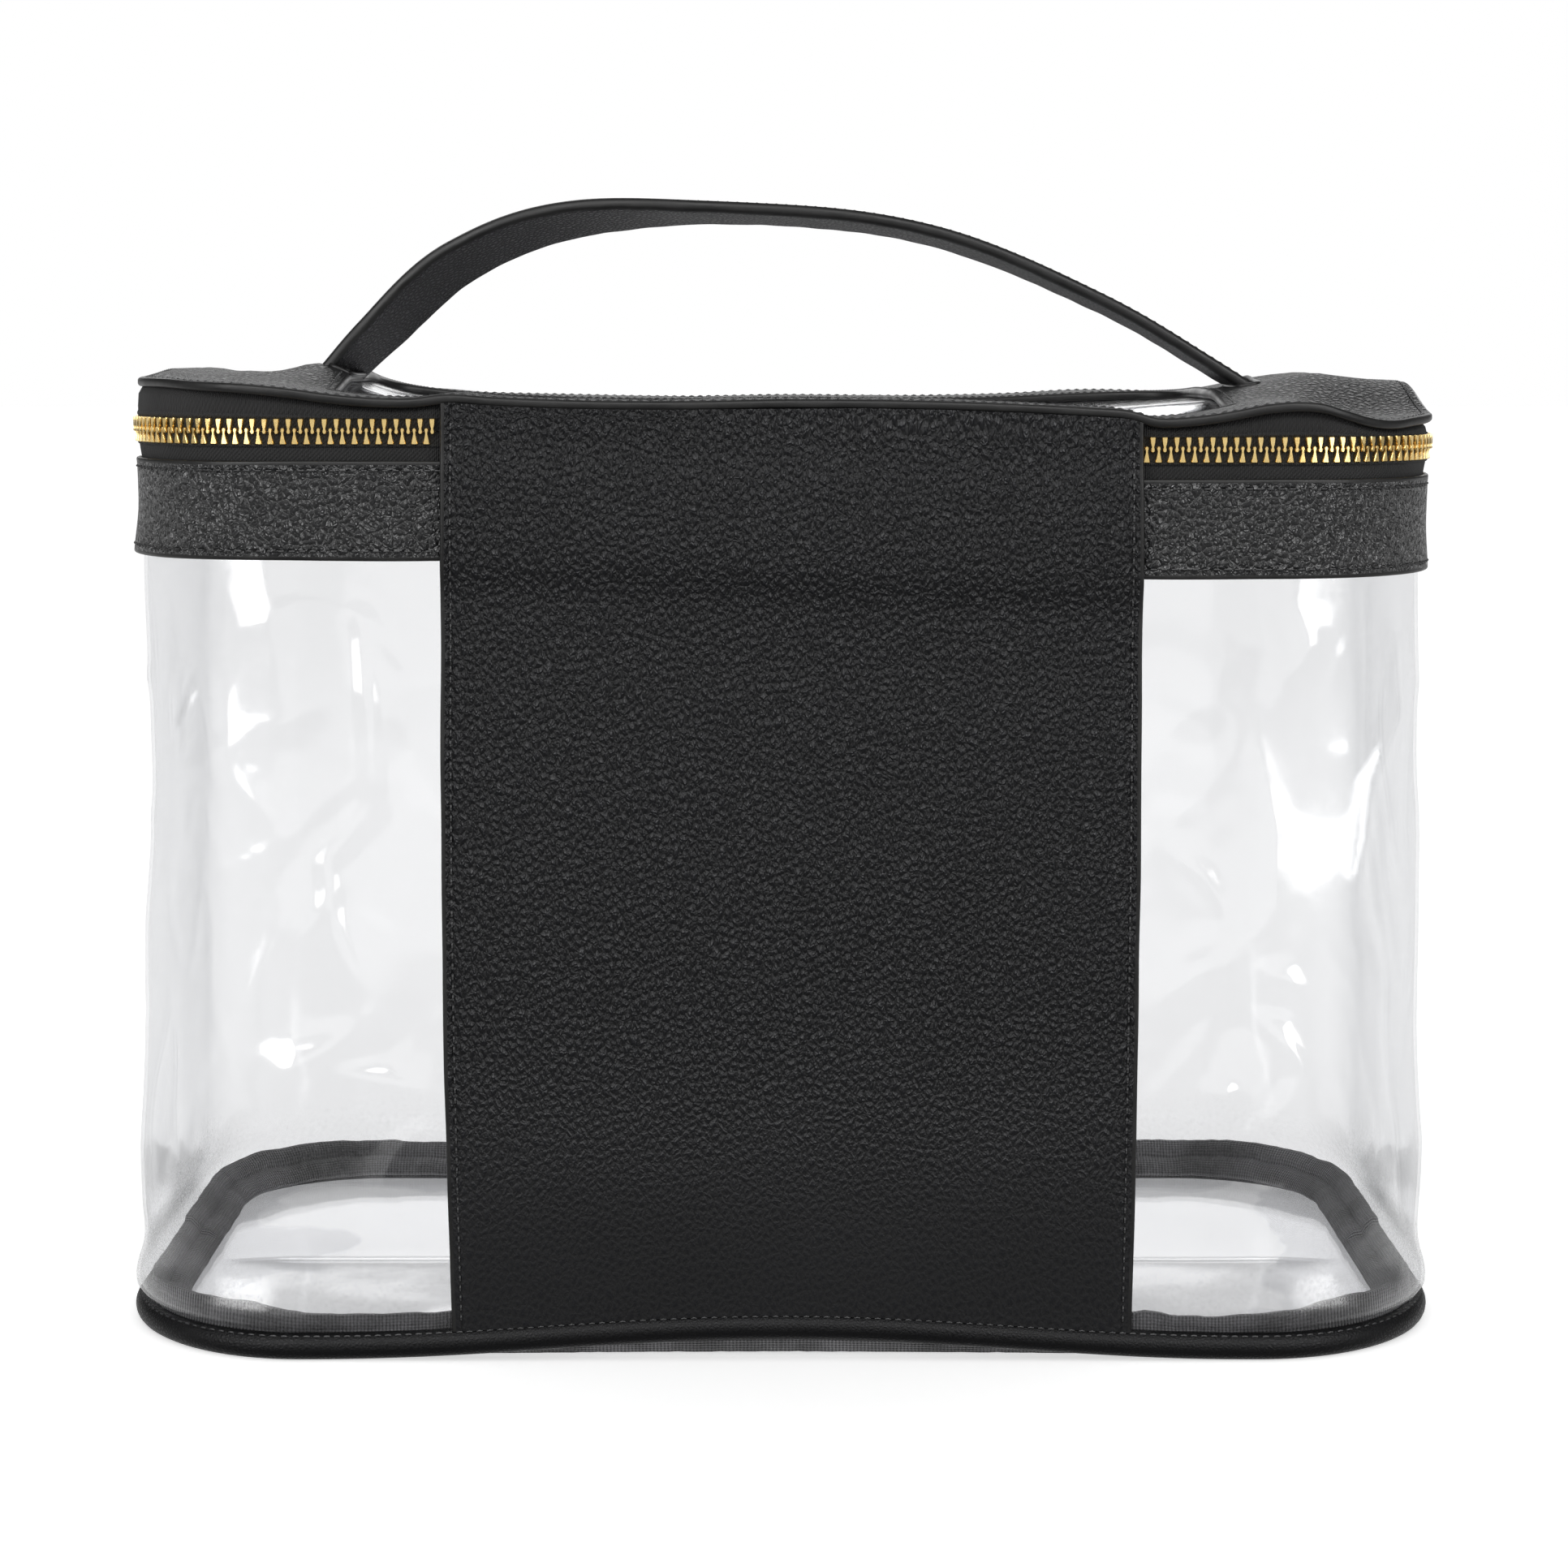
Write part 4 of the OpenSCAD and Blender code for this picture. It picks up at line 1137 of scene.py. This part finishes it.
def build_strap():
    inset = STRAP_W / 2 - STITCH_INSET
    across, depth, zones = section(STRAP_W, STRAP_T, (-inset, inset), step=1.6 * MM, paint=0.8 * MM)
    line, ahead, roll, run = strap_curve(240)
    # Only the underside wrinkles
    wrinkle = 0.16 * MM * wander(run[:, None], across * 0.35, 5 * MM, 16) * (depth < -STRAP_T * 0.7)
    grid, _ = strap_points(line, ahead, roll, across + 0 * wrinkle, depth + wrinkle)
    strap = loft("strap", grid, [strap_leather, edge_paint, strap_leather], run, zones, ring=False)
    finish_piece(strap, None,
                 ["handle_top", "handle_core", "handle_underside", "handle_foot_left", "handle_foot_right"],
                 ("lid", "handle", HANDLE_BLEND))

    first, last = run[6], run[-7]
    even = first + spaced(last - first)
    points = np.stack([np.interp(even, run, line[:, k]) for k in (0, 1)], 1)
    direction = np.stack([np.interp(even, run, ahead[:, k]) for k in (0, 1)], 1)
    rolled = np.interp(even, run, roll)
    rows = []
    for side in (-inset, inset):
        across, depth = np.full((2, len(even), 1), [[[side]], [[-STITCH_SUNK]]])
        grid, face = strap_points(points, direction, rolled, across, depth)
        rows.append((grid[:, 0], face))
    finish_piece(stitched("strap_stitches", rows), None, (), ("lid", "handle", HANDLE_BLEND))

    # Sewn ends under the lid
    for label, side in (("left", -1), ("right", 1)):
        low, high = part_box(f"handle_anchor_{label}")
        middle = (low + high) / 2
        across, depth, zones = section(high.y - low.y, high.z - low.z, step=2.2 * MM)
        run = np.linspace(0, high.x - low.x, 14)
        x, y = np.broadcast_arrays(low.x + run[:, None], middle.y + across)
        grid = np.stack([x, y, high.z + depth + lid_rise(x, y)], -1)
        skins = [strap_leather, edge_paint, strap_leather]
        anchor = loft(f"anchor_{label}", grid, skins, run, zones, ring=False)
        finish_piece(anchor, "lid", [f"handle_anchor_{label}"])

        # Lip of the slot that the strap comes through
        same_side = np.sign(line[:, 0]) == side
        over = line[:, 1] - LID_TOP - lid_rise(line[:, 0], 0 * line[:, 0])
        meet = line[same_side][np.argmin(np.abs(over[same_side])), 0]
        turn = np.linspace(0, 2 * math.pi, 60, endpoint=False)
        a, b = np.cos(turn), np.sin(turn)
        x = meet - side * 1.6 * MM + SLOT_HALF_L * np.sign(a) * np.abs(a) ** 0.5
        y = SLOT_HALF_W * np.sign(b) * np.abs(b) ** 0.5
        path = np.stack([x, y, LID_TOP + lid_rise(x, y)], -1)
        lip = tube(f"slot_lip_{label}", path, 0.6 * MM, edge_paint, closed=True, sides=10)
        finish_piece(lip, "lid")


# ---------------------------------------------------------------- sliders and pulls

PLATE_T = 1.2 * MM
WING_HALF_W = 4.6 * MM
BOSS_R = 2.6 * MM
CROWN_WIRE = 0.7 * MM
RING_WIRE = 0.5 * MM
EYE_R = 2 * MM
GRIP_INSET = 1.3 * MM


def build_slider(side, label):
    """Zip slider on the opening side: two plates with the teeth between them, a post, a boss and a crown."""
    low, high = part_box(f"slider_{label}")
    middle_x, half_l = (low.x + high.x) / 2, (high.x - low.x) / 2

    def at(a, b, out):
        return (middle_x - side * a, out, ZIP_Z + b)

    def part(name, shape, inner, outer, bevel, replaces=()):
        made = plate(f"slider_{name}_{label}", shape, inner, outer, at, gold, bevel)
        finish_piece(made, f"{label}_slider", replaces)

    # The slider is wide at the end where the two rows part
    shape = [(-half_l, -2.9 * MM), (-half_l + 0.7 * MM, -3.7 * MM), (-half_l + 2 * MM, -4.1 * MM),
             (0.5 * MM, -WING_HALF_W), (half_l - 2 * MM, -WING_HALF_W), (half_l - 0.5 * MM, -3.8 * MM),
             (half_l, -2.4 * MM)]
    shape += [(a, -b) for a, b in shape[::-1]]
    part("body", shape, high.y - PLATE_T, high.y, 0.45 * MM, [f"slider_{label}"])
    part("back", shape, low.y, low.y + PLATE_T, 0.45 * MM)
    start, end, half_t = half_l - 4 * MM, half_l - 1.4 * MM, 0.3 * MM
    post = [(start, -half_t), (end, -half_t), (end, half_t), (start, half_t)]
    part("post", post, low.y + PLATE_T, high.y - PLATE_T, 0.05 * MM)
    turn = np.linspace(0, 2 * math.pi, 28, endpoint=False)
    boss = [(BOSS_R * math.cos(t), BOSS_R * math.sin(t)) for t in turn]
    part("boss", boss, high.y - 0.1 * MM, high.y + 0.35 * MM, 0.2 * MM)

    crown_low, crown_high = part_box(f"slider_{label}_crown")
    reach = (crown_high.x - crown_low.x) / 2 - CROWN_WIRE
    foot_y, bar_y = high.y - 0.2 * MM, crown_high.y - CROWN_WIRE
    turn = np.linspace(0, math.pi, 25)
    y = foot_y + (bar_y - foot_y) * np.sin(turn) ** 0.55
    path = np.stack([middle_x - reach * np.cos(turn), y, np.full_like(turn, ZIP_Z)], -1)
    crown = tube(f"crown_{label}", path, CROWN_WIRE, gold)
    finish_piece(crown, f"{label}_slider", [f"slider_{label}_crown"])


def build_pull(label):
    """Pull of a slider: a ring round the crown and a tab with a raised grip."""
    rider = f"{label}_pull"
    low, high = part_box(f"pull_{label}_ring")
    centre, reach = (low + high) / 2, (high.z - low.z) / 2 - RING_WIRE
    turn = np.linspace(0, 2 * math.pi, 40, endpoint=False)
    y, z = centre.y + reach * np.cos(turn), centre.z + reach * np.sin(turn)
    path = np.stack([np.full_like(turn, centre.x), y, z], -1)
    ring = tube(f"ring_{label}", path, RING_WIRE, gold, closed=True)
    finish_piece(ring, rider, [f"pull_{label}_ring"])

    low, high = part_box(f"pull_{label}_tab")
    middle_x, half = (low.x + high.x) / 2, (high.x - low.x) / 2
    eye_z = high.z - EYE_R
    bottom = low.z + half

    def flat(a, b, out):
        return (middle_x + a, out, b)

    foot = [(half * math.sin(t), bottom - half * math.cos(t)) for t in np.radians(np.arange(0, 91, 9))]
    hip = [(half, eye_z - 6.2 * MM), (half - 0.5 * MM, eye_z - 4.9 * MM), (2.4 * MM, eye_z - 3.4 * MM),
           (EYE_R, eye_z - 1.6 * MM)]
    head = [(EYE_R * math.cos(t), eye_z + EYE_R * math.sin(t)) for t in np.radians(np.arange(0, 91, 15))]
    right = foot + hip + head
    shape = right + [(-a, b) for a, b in right[-2:0:-1]]
    tab = plate(f"tab_{label}", shape, low.y, high.y, flat, gold, 0.35 * MM)
    finish_piece(tab, rider, [f"pull_{label}_tab"])

    raised = [(a * (1 - GRIP_INSET / half), bottom + (b - bottom) * 0.84) for a, b in foot + hip[:2]]
    raised += [(-a, b) for a, b in raised[:0:-1]]
    grip = plate(f"tab_grip_{label}", raised, high.y - 0.1 * MM, high.y + 0.3 * MM, flat, gold, 0.18 * MM)
    finish_piece(grip, rider)


# ---------------------------------------------------------------- studio

FLOOR_HALF_W = 12.0
WORLD_FOR_CAMERA = 1.0
WORLD_FOR_CLOTH = 0.6
WORLD_FOR_GLOSS = 0.16
FAR_FLOOR_FOR_GLOSS = 0.8


def build_floor():
    corners = [(-1, -1, 0), (1, -1, 0), (1, 1, 0), (-1, 1, 0)]
    floor = mesh_piece("floor", np.array(corners) * FLOOR_HALF_W, [(0, 1, 2, 3)], [floor_white])
    floor.visible_glossy = False


def build_world():
    """White all round; shiny surfaces see a dark room with a white floor behind the bag."""
    world = bpy.data.worlds.new("studio")
    world.use_nodes = True
    tree = world.node_tree
    tree.nodes.clear()

    def value(operation, *inputs):
        made = tree.nodes.new("ShaderNodeMath")
        made.operation = operation
        made.use_clamp = operation == "MULTIPLY_ADD"
        for socket, item in zip(made.inputs, inputs):
            if isinstance(item, (int, float)):
                socket.default_value = item
            else:
                tree.links.new(item, socket)
        return made.outputs[0]

    rays = tree.nodes.new("ShaderNodeLightPath")
    split = tree.nodes.new("ShaderNodeSeparateXYZ")
    tree.links.new(tree.nodes.new("ShaderNodeTexCoord").outputs["Generated"], split.inputs[0])
    far_side = value("MULTIPLY_ADD", split.outputs["Y"], 1.5, 0.5)
    below = value("MULTIPLY_ADD", split.outputs["Z"], -20.0, 0.4)
    seen = value("MULTIPLY", value("MULTIPLY", far_side, below), FAR_FLOOR_FOR_GLOSS)
    seen = value("SUBTRACT", seen, WORLD_FOR_CLOTH - WORLD_FOR_GLOSS)
    strength = value("ADD", WORLD_FOR_CLOTH, value("MULTIPLY", rays.outputs["Is Glossy Ray"], seen))
    more = value("MULTIPLY", rays.outputs["Is Camera Ray"], WORLD_FOR_CAMERA - WORLD_FOR_CLOTH)
    strength = value("ADD", strength, more)
    ground = tree.nodes.new("ShaderNodeBackground")
    ground.inputs["Color"].default_value = (1, 1, 1, 1)
    output = tree.nodes.new("ShaderNodeOutputWorld")
    tree.links.new(strength, ground.inputs["Strength"])
    tree.links.new(ground.outputs[0], output.inputs["Surface"])
    bpy.context.scene.world = world


def build_lights():
    def softbox(name, where, target, width, height, power, lights_cloth=False):
        """Area light; it shines on glossy surfaces only, unless it lights cloth too."""
        light = bpy.data.lights.new(name, "AREA")
        light.shape = "RECTANGLE"
        light.size = width
        light.size_y = height
        light.energy = power
        holder = bpy.data.objects.new(name, light)
        holder.location = where
        holder.rotation_euler = (Vector(target) - Vector(where)).to_track_quat("-Z", "Y").to_euler()
        holder.visible_camera = False
        holder.visible_diffuse = lights_cloth
        bpy.context.scene.collection.objects.link(holder)

    softbox("fill", (0, -0.3, 1.6), (0, 0, 0.1), 1.6, 1.2, 3, lights_cloth=True)
    softbox("top", (0, -0.95, 1.0), (0, 0, 0.12), 2.4, 0.6, 22)
    softbox("left", (-0.95, -0.95, 0.62), (0, 0, 0.12), 0.8, 1.1, 12)
    softbox("right", (0.95, -0.95, 0.62), (0, 0, 0.12), 0.8, 1.1, 12)
    softbox("front", (0, -1.5, 0.2), (0, 0, 0.15), 1.4, 0.7, 1.8)
    softbox("behind", (0, 1.3, 0.9), (0, 0, 0.12), 1.8, 0.7, 12)
    softbox("low_behind", (0, 1.5, 0.34), (0, 0, 0.2), 1.8, 0.24, 2.2)


build_wall()
build_base()
build_band()
build_panel()
build_zip()
build_lid()
build_strap()
for which, name in ((-1, "left"), (1, "right")):
    build_slider(which, name)
    build_pull(name)
build_floor()
build_world()
build_lights()
